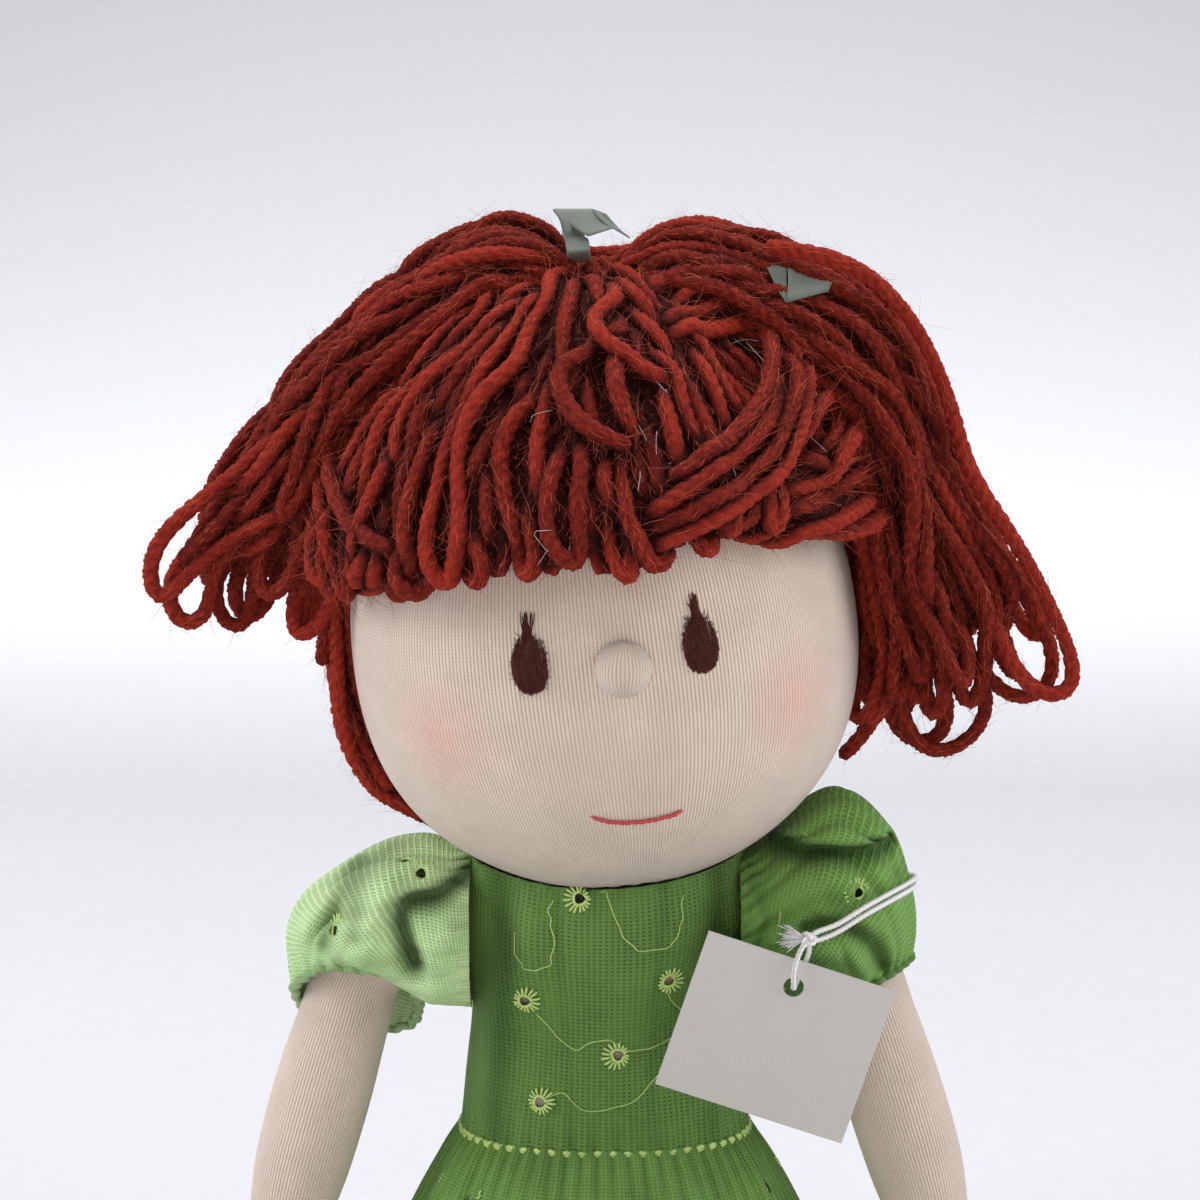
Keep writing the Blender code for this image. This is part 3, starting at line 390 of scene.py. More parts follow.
def knit_finish(name, colour, wales, courses, blush=()):
    """Fine jersey: wales along V, courses across, painted shade in the grooves between wales, a little mottling, and
    rouge round the given points.
    """
    made = Finish(name, 0.9, Sheen_Weight=0.25, Sheen_Roughness=0.5)
    u, v, _ = made.split(made.uv())
    lean = made.maths("ABSOLUTE", made.maths("SUBTRACT", made.maths("FRACT", made.product(u, wales)), 0.5))
    chevron = made.maths("ADD", made.product(v, courses), lean)
    stitch = made.wave(chevron, 1.0)
    wale = made.product(lean, 2.0)
    height = made.maths("SUBTRACT", 1.0, made.product(wale, wale))
    height = made.maths("ADD", height, made.product(stitch, 0.20))
    mottle = made.noise(made.place(), 90.0, 3.0)
    base = made.mix(made.span(mottle, 0.3, 0.7), shade(colour, 0.94), shade(colour, 1.04))
    # Painted shade: the grooves between the wales are made darker
    base = made.mix(made.span(height, 0.0, 0.75, 0.75, 0.0), base, shade(colour, 0.52))
    for centre, radius, rouge, weight in blush:
        away = made.node("ShaderNodeVectorMath", {0: made.place(), 1: tuple(centre)}, out="Value",
                         operation="DISTANCE")
        base = made.tinged(base, rouge, away, radius, 0.0, weight)
    made.colour(base)
    made.bump(height, 0.00030, 0.9)
    return made.material


def yarn_finish(name, colour, plies):
    """Plied wool: fibres along the yarn, painted shade in the grooves between plies and in the gaps between strands,
    each strand its own tone.
    """
    made = Finish(name, 0.9, Sheen_Weight=0.12, Sheen_Roughness=0.5, Sheen_Tint=(*shade(colour, 2.0), 1.0),
                  Specular_IOR_Level=0.2)
    u, v, _ = made.split(made.uv())
    groove = made.wave(made.maths("ADD", u, 0.25 / plies), plies)
    straight = made.maths("ADD", u, v)
    fibre = made.noise(made.joined(made.product(straight, 26.0), made.product(v, 5.0)), 1.0, 3.0)
    fluff = made.noise(made.place(), 700.0, 3.0)
    blend = made.product(made.maths("ADD", fibre, fluff), 0.5)
    base = made.mix(made.span(blend, 0.38, 0.62), shade(colour, 0.42), shade(colour, 1.60))
    tint = made.attribute("tint")
    base = made.tinged(base, shade(colour, 1.9), tint, 0.45, 1.0, 0.45)
    base = made.tinged(base, shade(colour, 0.45), tint, 0.45, 0.0, 0.50)
    # Painted shade in the grooves between the plies
    base = made.tinged(base, shade(colour, 0.34), groove, 0.40, 1.0, 0.32)
    # Painted shade in the gaps between strands, nearly black where they crowd in
    base = made.tinged(base, shade(colour, 0.05), made.attribute("hidden"), 0.06, 0.80, 0.96)
    made.colour(base)
    made.bump(blend, 0.0012, 1.0)
    return made.material


def voile_finish(name, colour, ribs, rows, turned=False):
    """Semi-sheer ribbed voile: a fine cord at each rib with a painted highlight, a ladder of open weave between,
    see-through and with painted shade, and painted shade in the folds.
    """
    made = Finish(name, 0.8, Sheen_Weight=0.06)
    u, v, _ = made.split(made.uv())
    if turned:
        u, v = v, u
    rib = made.wave(u, ribs)
    cord = made.span(rib, 0.60, 0.95)
    rung = made.wave(v, rows)
    open_weave = made.product(made.span(rib, 0.75, 0.25), made.span(rung, 0.35, 0.85))
    weave = made.noise(made.place(), 1500.0, 2.0)
    drift = made.noise(made.place(), 55.0, 2.0)
    # Painted highlight: each rib's cord is made lighter
    base = made.mix(cord, colour, shade(colour, 1.22))
    # Partly real, partly painted shade: the open weave is see-through, and is also made darker for the shade behind
    # it
    base = made.mix(made.product(open_weave, 0.60), base, shade(colour, 0.36))
    base = made.tinged(base, shade(colour, 0.65), weave, 0.35, 0.65, 0.30)
    base = made.tinged(base, shade(colour, 1.6), drift, 0.35, 0.7, 0.45)
    # Painted shade: darker where the fold attribute marks a fold or crease
    base = made.tinged(base, FOLD_SHADE_COLOUR, made.attribute("fold"), 0.08, 1.0, 0.84)
    made.colour(base)
    made.put(made.shader.inputs["Alpha"], made.maths("SUBTRACT", 1.0, made.product(open_weave, 0.28)))
    relief = made.maths("ADD", cord, made.product(rung, 0.3))
    made.bump(made.maths("ADD", relief, made.product(weave, 0.4)), 0.00025, 0.8)
    return made.material


def thread_finish(name, colour, roughness, turns, sheen):
    """Stranded thread: fine filaments that wind along it."""
    made = Finish(name, roughness, Sheen_Weight=sheen)
    u, v, _ = made.split(made.uv())
    line = made.wave(made.maths("ADD", u, v), turns)
    speck = made.noise(made.place(), 2200.0, 2.0)
    base = made.mix(line, shade(colour, 0.8), shade(colour, 1.2))
    made.colour(made.tinged(base, shade(colour, 0.75), speck, 0.35, 0.65, 0.3))
    made.bump(line, 0.00006, 0.7)
    return made.material


def satin_finish(name, colour):
    """Satin ribbon: fine weft lines across, soft gloss."""
    made = Finish(name, 0.38, Sheen_Weight=0.3, Anisotropic=0.5)
    u, v, _ = made.split(made.uv())
    weft = made.wave(v, 90.0)
    slub = made.noise(made.joined(made.product(u, 3.0), made.product(v, 60.0)), 1.0, 2.0)
    base = made.mix(weft, shade(colour, 0.8), shade(colour, 1.15))
    made.colour(made.tinged(base, shade(colour, 1.45), slub, 0.35, 0.65, 0.35))
    made.bump(weft, 0.00005, 0.6)
    return made.material


def felt_finish(name, colour):
    """Pressed felt: matted fibres and a soft nap."""
    made = Finish(name, 0.95, Sheen_Weight=0.5)
    mat = made.noise(made.place(), 900.0, 5.0)
    patch = made.noise(made.place(), 70.0, 2.0)
    base = made.mix(made.span(mat, 0.3, 0.7), shade(colour, 0.6), shade(colour, 1.4))
    made.colour(made.tinged(base, shade(colour, 1.3), patch, 0.3, 0.7, 0.3))
    made.bump(mat, 0.0005, 0.8)
    return made.material


def card_finish(name, colour):
    """Uncoated card: paper tooth, faint clouds."""
    made = Finish(name, 0.8)
    tooth = made.noise(made.place(), 1300.0, 4.0)
    cloud = made.noise(made.place(), 120.0, 2.0)
    base = made.mix(made.span(tooth, 0.3, 0.7), shade(colour, 0.97), shade(colour, 1.02))
    made.colour(made.tinged(base, shade(colour, 0.93), cloud, 0.35, 0.7, 0.35))
    made.bump(tooth, 0.00003, 0.35)
    return made.material


def filling_finish(name, colour):
    """Polyester wool: loose curled fibre."""
    made = Finish(name, 0.95, Sheen_Weight=0.6)
    curl = made.noise(made.place(), 500.0, 6.0)
    made.colour(made.mix(made.span(curl, 0.3, 0.7), shade(colour, 0.75), colour))
    made.bump(curl, 0.001, 0.9)
    return made.material


# Colours and sizes that a user would change

def colour_setting(name, description, default):
    return bpy.props.FloatVectorProperty(name=name, description=description, default=default, subtype="COLOR",
                                         size=3, min=0.0, max=1.0)


def length_setting(name, description, default):
    return bpy.props.FloatProperty(name=name, description=description, default=default, subtype="DISTANCE",
                                   unit="LENGTH", min=0.0)


class DollColours(bpy.types.PropertyGroup):
    """The doll's colours"""
    knit: colour_setting("Knit", "Colour of the head, arms, body and legs", (0.79, 0.655, 0.565))
    rouge: colour_setting("Rouge", "Colour rubbed into the cheeks", (0.86, 0.44, 0.36))
    yarn: colour_setting("Yarn", "Colour of the hair", (0.25, 0.0200, 0.0105))
    voile: colour_setting("Voile", "Colour of the dress", (0.235, 0.49, 0.098))
    vine: colour_setting("Embroidery", "Colour of the eyelets and their vines", (0.58, 0.78, 0.27))
    eye: colour_setting("Eyes", "Colour of the eyes' thread", (0.078, 0.013, 0.007))
    mouth: colour_setting("Mouth", "Colour of the mouth's thread", (0.62, 0.06, 0.08))
    ribbon: colour_setting("Ribbons", "Colour of the satin ribbons", (0.115, 0.150, 0.118))
    felt: colour_setting("Shoes", "Colour of the shoes' felt", (0.16, 0.06, 0.03))
    card: colour_setting("Card", "Colour of the tag's card", (0.60, 0.58, 0.575))
    cotton: colour_setting("String", "Colour of the tag's string", (0.85, 0.85, 0.88))


class DollSizes(bpy.types.PropertyGroup):
    """Sizes of the yarn, its fuzz and the cloth"""
    yarn: length_setting("Yarn radius", "Half the thickness of a strand of hair", 0.0021)
    twist: length_setting("Yarn twist", "Length of one turn of the yarn's plies", 0.0095)
    cloth: length_setting("Cloth", "Thickness of the voile", 0.0004)
    fuzz: length_setting("Fuzz", "How far the wool's loose fibres stand off", 0.0024)


def colours():
    return bpy.context.scene.doll_colours


def sizes():
    return bpy.context.scene.doll_sizes


_made = {}


def finishes():
    """How each kind of finish is made: its maker, and what that is given."""
    c = colours()
    rouge = [(on_head(bearing, CHEEK_ELEVATION), CHEEK_RADIUS, tuple(c.rouge), ROUGE_STRENGTH)
             for bearing in CHEEK_BEARINGS]
    return {
        "head": (knit_finish, "knit_head", c.knit, 410.0, 262.0, rouge),
        "knit": (knit_finish, "knit", c.knit, 90.0, 150.0),
        # Painted shade: the nose's knit is a copy of the head's made a little darker
        "nose": (knit_finish, "knit_nose", shade(c.knit, 0.95), 44.0, 26.0),
        "yarn": (yarn_finish, "yarn", c.yarn, 3),
        "fuzz": (thread_finish, "yarn_fuzz", LIT_FUZZ_COLOUR, 0.9, 8.0, 0.0),
        # Painted light and shade: each piece of the dress has its own lighter or darker copy of the voile colour;
        # the bodice is darkest for the shade under the chin, the doll's left sleeve darker, and the doll's right
        # sleeve paler and lighter for the light on that side
        "voile": (voile_finish, "voile", shade(c.voile, 0.47), 150.0, 74.0),
        "skirt": (voile_finish, "voile_skirt", shade(c.voile, 0.58), 300.0, 78.0),
        "sleeve_left": (voile_finish, "voile_sleeve_left", shade(c.voile, 0.68), 44.0, 190.0, True),
        "sleeve_right": (voile_finish, "voile_sleeve_right", shade(whitened(c.voile, 0.20), 1.34), 44.0, 190.0,
                         True),
        "vine": (thread_finish, "embroidery", c.vine, 0.6, 4.0, 0.0),
        "eye": (thread_finish, "eye_thread", c.eye, 0.9, 3.0, 0.0),
        "mouth": (thread_finish, "mouth_thread", c.mouth, 0.5, 3.0, 0.2),
        "satin": (satin_finish, "satin", c.ribbon),
        "felt": (felt_finish, "shoe_felt", c.felt),
        "card": (card_finish, "card", c.card),
        "cotton": (thread_finish, "cotton", c.cotton, 0.85, 3.0, 0.2),
        "filling": (filling_finish, "filling", FILLING_COLOUR),
        "floor": (card_finish, "floor", FLOOR_COLOUR),
    }


def finish(kind):
    """The material of a kind, made the first time it is asked for."""
    if kind not in _made:
        maker, *given = finishes()[kind]
        _made[kind] = maker(*given)
    return _made[kind]


# Head and face

def make_head():
    """The stuffed ball, with soft dents and the gathers round the neck."""
    u, v = grid(220, 130)
    bearing, elevation = u * 360.0 - 180.0, -90.0 + v * 180.0
    b, e = np.radians(bearing), np.radians(elevation)
    dent = 0.00022 * (np.sin(3 * b + 1.1) * np.cos(2 * e) + np.sin(5 * b - 4 * e) + np.cos(2 * b + 6 * e + 0.7))
    gather = 0.0006 * np.cos(26 * b) * ease(-66.0, -80.0, elevation)
    places = poled(on_head(bearing, elevation, dent * np.cos(e) + gather))
    head = sewn("head_knit", [(places, together(u, v))], "head", "head", ("head",))


NOSE_BEARING, NOSE_ELEVATION, NOSE_LIFT, NOSE_RADIUS = 1.1, 4.0, 0.0030, 0.0062


def make_nose():
    """A little stuffed ball of the same knit, its wales upright."""
    centre = on_head(NOSE_BEARING, NOSE_ELEVATION, NOSE_LIFT)
    out = unit(on_head(NOSE_BEARING, NOSE_ELEVATION, NOSE_LIFT + 0.01) - centre)
    side = unit(np.cross((0.0, 0.0, 1.0), out))
    up = np.cross(out, side)
    u, v = grid(44, 26)
    angle, polar = u * TURN, v * math.pi
    size = NOSE_RADIUS * (1 + 0.015 * np.cos(3 * angle + 0.6) * np.sin(polar))
    ring, height = np.sin(polar) * size, np.cos(polar) * size
    places = (centre - up * height[..., None] + side * (ring * np.cos(angle))[..., None]
              + out * (ring * np.sin(angle))[..., None])
    nose = sewn("nose_knit", [(poled(places), together(u, v))], "nose", "head", ("nose",))


# How wide the eye is, as a share, from its round foot at -1 to its tip
EYE_WIDTHS = ((-1.0, 0.22), (-0.93, 0.50), (-0.80, 0.74), (-0.60, 0.93), (-0.35, 1.0), (-0.10, 0.97), (0.10, 0.85),
              (0.27, 0.68), (0.42, 0.48), (0.58, 0.33), (0.75, 0.22), (0.90, 0.10))
EYE_BEARING, EYE_ELEVATION = 18.3, 8.0
EYE_HALF_WIDTH, EYE_HALF_HEIGHT = 0.0039, 0.0088
STITCHES, TIP_THREADS, EDGE_THREADS, LOOSE_FIBRES = 36, 13, 90, 170


def make_eye(node, bearing, seed):
    """A teardrop of upright satin stitches, loose at its tip."""
    rng = np.random.default_rng(seed)
    wide_deg, high_deg = math.degrees(EYE_HALF_WIDTH / 0.058), math.degrees(EYE_HALF_HEIGHT / 0.066)
    rows = catmull(EYE_WIDTHS, 4)
    sheets = []

    def thread(across, level, lift, step, radius, sides=4):
        route = on_head(bearing + wide_deg * across, EYE_ELEVATION + high_deg * level, lift)
        sheets.append(cord_sheet(evenly(route, step), radius, sides))

    for k in range(STITCHES):
        side = -1 + 2 * (k + 0.5) / STITCHES
        inside = rows[np.abs(side) <= rows[:, 1] + 0.02]
        if len(inside) < 2:
            continue
        low = inside[0, 0] + rng.uniform(-0.05, 0.02)
        high = inside[-1, 0] + rng.uniform(-0.14, 0.20) * (1 - abs(side))
        t = np.linspace(low, high, 16)
        lean = side * (1 - 0.45 * ease(0.0, 0.8, t)) + rng.uniform(-0.05, 0.05) * (t - low)
        bulge = np.sin(np.linspace(0, math.pi, 16)) * (1 - 0.5 * side ** 2)
        thread(lean, t, 0.00018 + 0.00075 * bulge + rng.uniform(0, 0.00022, 16), 0.0005, 0.00017, 5)
    for k in range(TIP_THREADS):
        side = rng.uniform(-0.22, 0.22)
        t = np.linspace(0.30 + rng.uniform(-0.1, 0.1), 0.98 + rng.uniform(-0.20, 0.10), 8)
        away = side * (1 + 1.1 * ease(0.4, 1.0, t)) + rng.uniform(-0.16, 0.16) * ease(0.5, 1.1, t)
        thread(away, t, 0.00025 + 0.0002 * np.sin(6 * t + k), 0.0006, 0.00010)
    for _ in range(EDGE_THREADS):
        side = rng.choice((-1, 1))
        level = rng.uniform(-0.97, 0.5)
        width = np.interp(level, rows[:, 0], rows[:, 1])
        t = np.linspace(0, 1, 5)
        away = side * (width * 0.9 + rng.uniform(0.08, 0.30) * t)
        thread(away, level + 0.16 * t * rng.uniform(-1, 1), 0.0003, 0.0003, 0.00007)
    for _ in range(LOOSE_FIBRES):
        level = rng.uniform(-0.92, 0.45)
        side = rng.uniform(-0.92, 0.92) * np.interp(level, rows[:, 0], rows[:, 1])
        t = np.array((0.0, 0.5, 1.0))
        away = side + rng.uniform(-0.16, 0.16) * t
        thread(away, level + rng.uniform(-0.09, 0.09) * t, np.array((0.0007, 0.0015, 0.0011)), 0.0003, 0.00009)
    sewn(node + "_stitch", sheets, "eye", "head", (node,))


# The mouth's bearings and elevations
MOUTH = ((-10.2, -30.4), (-4.5, -32.6), (2.1, -33.4), (8.0, -33.0), (12.9, -32.0))


def make_mouth():
    """One couched red thread of two twisted strands, tucked in at both ends."""
    path = catmull(MOUTH, 10)
    lift = 0.0006 + 0.00008 * np.sin(np.linspace(0, 40, len(path)))
    lift[:3], lift[-3:] = 0.0001, 0.0001
    route = evenly(on_head(path[:, 0], path[:, 1], lift), 0.00045)
    sewn("mouth_thread", [cord_sheet(route, 0.00055, 8, lobes=2, groove=0.35, pitch=0.0030)], "mouth", "head",
         ("mouth",))


# Hair

# Edges of the bunches as seen from the front: across and up, in millimetres
OUTER_LEFT = ((1, 250), (3, 261), (8, 270), (17, 276.5), (32, 273), (56, 265), (72, 249), (79, 226), (88, 208),
              (99, 194), (108, 167))
INNER_LEFT = ((1, 248), (6, 253), (16, 254), (34, 248), (50, 233), (58, 212), (62, 190), (62, 170), (56, 150))
OUTER_RIGHT = ((-5, 250), (-7, 261), (-12, 270), (-22, 276.5), (-37, 270.5), (-52, 260), (-68, 243), (-85, 224),
               (-102, 202), (-104, 190))
INNER_RIGHT = ((-5, 248), (-10, 253), (-20, 254), (-35, 248), (-49, 234), (-58, 215), (-62, 197), (-66, 180))


def fan_route(outer, inner, share, depth, reach):
    """A strand's way through a bunch: share runs from its outer edge to its inner one, depth across it."""
    t = np.linspace(0, reach, 16)
    lines = []
    for edge in (outer, inner):
        line = evenly(catmull(np.array(edge, float), 8), 1.0)
        along = lengths(line) / lengths(line)[-1]
        lines.append(np.stack([np.interp(t, along, line[:, k]) for k in range(2)], axis=1))
    flat = lines[0] * (1 - share) + lines[1] * share
    spread = BUNCH_HALF_DEPTH * (0.55 + 0.45 * np.sin(np.clip(t * 1.7, 0, 1) * math.pi / 2)) * (1 - 0.25 * t ** 3)
    return np.stack((flat[:, 0], depth * spread, flat[:, 1]), axis=1) * MM


def pressed_pairs(points, owner, gap):
    """Pairs of points of different strands, or of far parts of one, that lie nearer than gap."""
    p = points.astype(np.float32)
    square = (p ** 2).sum(1)
    apart = square[:, None] + square[None] - 2 * p @ p.T
    i, j = np.nonzero(np.triu(apart < gap * gap, 1))
    keep = (owner[i] != owner[j]) | (j - i > 4)
    return i[keep], j[keep]


def pulled(push, i, j, count):
    """The pushes of all pairs summed at each point, one way for the first and the other way for the second."""
    return np.stack([np.bincount(i, push[:, k], count) - np.bincount(j, push[:, k], count) for k in range(3)],
                    axis=1)


def settle(routes, gap, rounds, lift):
    """Strands pushed off each other and off the head where they press in, then eased."""
    counts = [len(r) for r in routes]
    points = np.vstack(routes)
    owner = np.repeat(np.arange(len(routes)), counts)
    first = np.cumsum([0] + counts[:-1])
    last = np.cumsum(counts) - 1
    held = np.zeros(len(points), bool)
    for ends in (first, first + 1, last, last - 1):
        held[ends] = True
    for turn in range(rounds):
        if turn % 4 == 0:
            i, j = pressed_pairs(points, owner, gap * 1.4)
        away = points[i] - points[j]
        size = np.linalg.norm(away, axis=1)
        share = np.clip(gap - size, 0, None) * 0.34 / (size + TINY)
        push = away * share[:, None]
        moved = np.clip(pulled(push, i, j, len(points)), -gap * 0.4, gap * 0.4)
        moved[held] = 0
        points = points + moved
        middle = points.copy()
        middle[1:-1] = 0.5 * points[1:-1] + 0.25 * (points[:-2] + points[2:])
        middle[held] = points[held]
        points = 0.6 * points + 0.4 * middle
        free = ~held
        points[free] = clear_of_head(points[free], lift)
    return [points[a:b + 1] for a, b in zip(first, last)]


def wander(route, rng, size):
    """A strand with slow, uneven bends of about the given size, growing away from its root."""
    along = lengths(route)
    grow = 0.35 + 0.65 * np.clip(along / 0.06, 0, 1)
    out = route.copy()
    for axis in range(3):
        for wave, weight in ((rng.uniform(0.050, 0.080), 1.0), (rng.uniform(0.022, 0.034), 0.45)):
            out[:, axis] += size * weight * grow * np.sin(TURN * along / wave + rng.uniform(0, TURN))
    return out


# Loose fibres: how many for each metre of a strand, and half the width of one
FIBRES_PER_METRE, FIBRE_HALF_WIDTH = 2900, 0.00006


def fuzz_mesh(name, evens, radius, seed):
    """Thousands of fine loose fibres that stand off the strands, each two small faces."""
    rng = np.random.default_rng(seed)
    roots, outs, ons = [], [], []
    for even in evens:
        across, up = frames(even)
        number = int(lengths(even)[-1] * FIBRES_PER_METRE)
        k = rng.integers(1, len(even) - 1, number)
        angle = rng.uniform(0, TURN, number)[:, None]
        out = across[k] * np.cos(angle) + up[k] * np.sin(angle)
        on = unit(even[k + 1] - even[k - 1])
        roots.append(even[k] + out * radius * 0.8)
        outs.append(out)
        ons.append(on * rng.choice((-1, 1), number)[:, None])
    root, out, on = np.vstack(roots), np.vstack(outs), np.vstack(ons)
    long = (sizes().fuzz * rng.uniform(0.30, 1.6, len(root)) ** 1.8)[:, None]
    middle = root + (out * 0.50 + on * 0.8) * long * 0.6
    tip = middle + (out * 0.6 + on * 0.7 + rng.normal(0, 0.45, root.shape)) * long * 0.8
    wide = np.cross(out, on) * FIBRE_HALF_WIDTH
    rows = np.stack([np.stack((p - wide * s, p + wide * s), axis=1)
                     for p, s in ((root, 1.0), (middle, 0.8), (tip, 0.3))], axis=1)
    bm = bmesh.new()
    bm.loops.layers.uv.new("UVMap")
    bmesh.ops.create_grid(bm, x_segments=1, y_segments=3 * len(root) - 1, size=0.5)
    bmesh.ops.delete(bm, geom=[face for face in bm.faces if face.index % 3 == 2], context="FACES")
    mesh = mesh_from(bm, name)
    mesh.vertices.foreach_set("co", rows.reshape(-1).astype(np.float32))
    return mesh


def crowding(evens, radius):
    """For each point of each strand, how near its neighbours are, and which way they lie: the mask of the yarn's
    painted shade.
    """
    coarse = [even[::2] for even in evens]
    points = np.vstack(coarse)
    owner = np.repeat(np.arange(len(coarse)), [len(c) for c in coarse])
    reach = radius * 3.6
    i, j = pressed_pairs(points, owner, reach)
    away = points[j] - points[i]
    size = np.linalg.norm(away, axis=1)
    share = (1 - size / reach) / 3.0
    away *= (share / (size + TINY))[:, None]
    weight = np.bincount(i, share, len(points)) + np.bincount(j, share, len(points))
    pull = pulled(away, i, j, len(points))
    crowd, at = [], 0
    for even, part in zip(evens, coarse):
        where, known = np.arange(len(even)), np.arange(len(part)) * 2
        crowd.append((np.stack([np.interp(where, known, pull[at:at + len(part), k]) for k in range(3)], axis=1),
                      np.interp(where, known, weight[at:at + len(part)])))
        at += len(part)
    return crowd


def yarn_pieces(node, routes, radius, seed, chunk, step=0.0012):
    """Strands as plied yarn, in pieces small enough to keep, with loose fibres standing off them."""
    name = node + "_yarn"
    rng = np.random.default_rng(seed)
    pitch = sizes().twist
    evens = [smooth_route(route, step) for route in routes]
    crowd = crowding(evens, radius)
    number = 0
    for begin in range(0, len(evens), chunk):
        sheets, hidden = [], []
        for even, (pull, weight) in zip(evens[begin:begin + chunk], crowd[begin:begin + chunk]):
            thick = radius * (1 + 0.07 * np.sin(np.linspace(0, len(even) * 0.11, len(even)) + rng.uniform(0, 6)))
            places, uvs = cord_sheet(even, thick, 9, lobes=3, groove=0.13, pitch=pitch, start=rng.uniform(0, TURN))
            out = unit(places - even[:, None])
            # Painted shade: how dark each spot of the yarn is made by the strands crowding it on that side
            hidden.append(np.clip(weight[:, None] * 0.25 + (out * pull[:, None]).sum(2) * 0.5, 0, None))
            sheets.append((places, uvs))
        number += 1
        word = f"{name}_{number}" if len(evens) > chunk else name
        mesh = woven(word, sheets, {"tint": rng.uniform(0, 1, len(sheets)), "hidden": hidden})
        piece(word, mesh, "yarn", "head", (node,) if number == 1 else ())
    for number in range(2):
        word = f"{name}_fuzz_{number + 1}"
        piece(word, fuzz_mesh(word, evens[number::2], radius, seed + 7 + number), "fuzz", "head")


def loop_from(out, back):
    """One strand that goes out, turns over at its tip and comes back."""
    tip = (out[-1] + back[-1]) / 2
    ahead = (out[-1] - out[-3]) + (back[-1] - back[-3])
    reach = max(0.003, np.linalg.norm(out[-1] - back[-1]) * 0.45)
    tip = tip + unit(ahead) * reach
    return np.vstack((out, tip[None], back[::-1]))


# Loops that stand out at the ends of the bunches: across and up, in millimetres
LOOPS_LEFT = (
    ((35.4, 270.9), (56.0, 266.4), (69.9, 252.7), (78.3, 234.2), (82.0, 220.3), (91.5, 206.3), (98.7, 194.5),
     (107.5, 175.6), (108.2, 168.1), (101.7, 166.6), (94.7, 172.1), (86.4, 187.5), (76, 208)),
    ((30.8, 268.7), (51.5, 261.8), (65.4, 245.8), (73.8, 225.0), (82.2, 208.6), (94.0, 196.9), (101.3, 182.7),
     (104.3, 170.5), (97.1, 164.9), (90.0, 168.5), (80.8, 182.0), (72, 206)),
    ((26.3, 266.4), (46.9, 257.3), (60.9, 238.9), (68.2, 218.0), (75.5, 196.9), (82.8, 178.0), (88.8, 168.5),
     (89.1, 160.3), (83.3, 153.9), (76.3, 151.5), (70.3, 156.3), (67.7, 170), (66, 196)),
    ((21.7, 264.1), (44.7, 250.4), (56.5, 229.6), (62.6, 206.3), (65.2, 182.7), (64.8, 165), (69.2, 154.6),
     (77.4, 152.2), (81.0, 158.9), (78.3, 170.5), (72, 196)),
    ((50.5, 240), (59.0, 218), (62.5, 196), (65.2, 176), (65.0, 161), (60.2, 152.0), (55.7, 147.4)),
)
LOOPS_RIGHT = (
    ((-42.5, 250.4), (-63.3, 236.2), (-77.4, 224.6), (-90.2, 214.3), (-102.2, 204.0), (-104.7, 194.5),
     (-101.4, 187.3), (-97.0, 195.0), (-86.9, 204.0), (-63.7, 213.0)),
    ((-40.2, 248.1), (-58.8, 231.9), (-72.8, 218.0), (-89.2, 206.3), (-98.9, 196.9), (-101.4, 188.0),
     (-96.2, 181.3), (-89.8, 187.5), (-90.6, 196.9), (-80.0, 206.3), (-61.4, 213.0)),
    ((-37.9, 245.8), (-56.5, 229.6), (-70.5, 215.6), (-82.3, 204.0), (-90.0, 194.5), (-90.3, 185.6),
     (-85.1, 179.7), (-80.3, 186.5), (-81.6, 196.9), (-70.7, 208.3)),
    ((-35.6, 243.5), (-54.2, 227.3), (-66.0, 211.0), (-73.2, 201.6), (-77.0, 189.8), (-82.5, 180.9),
     (-87.4, 187.5), (-83.8, 197.9), (-71.0, 210.3)),
    ((-47.2, 238.9), (-60.0, 222.6), (-64.9, 206.3), (-65.1, 189.8), (-66.4, 178.0), (-67.0, 169.5)),
)


GOLDEN_ANGLE = 2.39996
BUNCH_STRANDS, BUNCH_HALF_DEPTH = 40, 22.0


def make_bunch(node, outer, inner, loops, seed):
    """A bunch: strands sweep out from the parting, hang, turn over and run back."""
    rng = np.random.default_rng(seed)
    routes = []
    for k in range(BUNCH_STRANDS):
        radius = math.sqrt(0.12 + 0.88 * (k + 0.5) / BUNCH_STRANDS)
        angle = k * GOLDEN_ANGLE
        share, depth = 0.5 + 0.46 * radius * math.cos(angle), radius * math.sin(angle)
        low_share = min(0.98, share + rng.uniform(0.04, 0.16))
        reach = rng.uniform(0.80, 0.97) if share < 0.7 else rng.uniform(0.84, 1.0)
        out = fan_route(outer, inner, share, depth, reach)
        back = fan_route(outer, inner, low_share, depth + rng.uniform(-0.3, 0.3), reach * rng.uniform(0.90, 1.0))
        routes.append(wander(loop_from(out, back), rng, 0.0023))
    for k, loop in enumerate(loops):
        flat = catmull(np.array(loop, float), 4)
        y = -17.0 + 6.5 * k + 3.0 * np.sin(np.linspace(0, 3, len(flat)) + k)
        routes.append(np.stack((flat[:, 0], y, flat[:, 1]), axis=1) * MM)
    radius = sizes().yarn * 0.94
    routes = [evenly(r, 0.0035) for r in routes]
    routes = settle(routes, radius * 1.75, 12, radius)
    yarn_pieces(node, routes, radius, seed, 34)


def patch_route(bearings, elevations, lifts):
    """A strand over the head through bearings, elevations and lifts."""
    path = catmull(np.stack((bearings, elevations, lifts), axis=1), 4)
    return on_head(path[:, 0], path[:, 1], path[:, 2])


def table_route(path):
    """A strand over the head through rows of bearing, elevation and lift in millimetres."""
    return patch_route(path[:, 0], path[:, 1], path[:, 2] * MM)


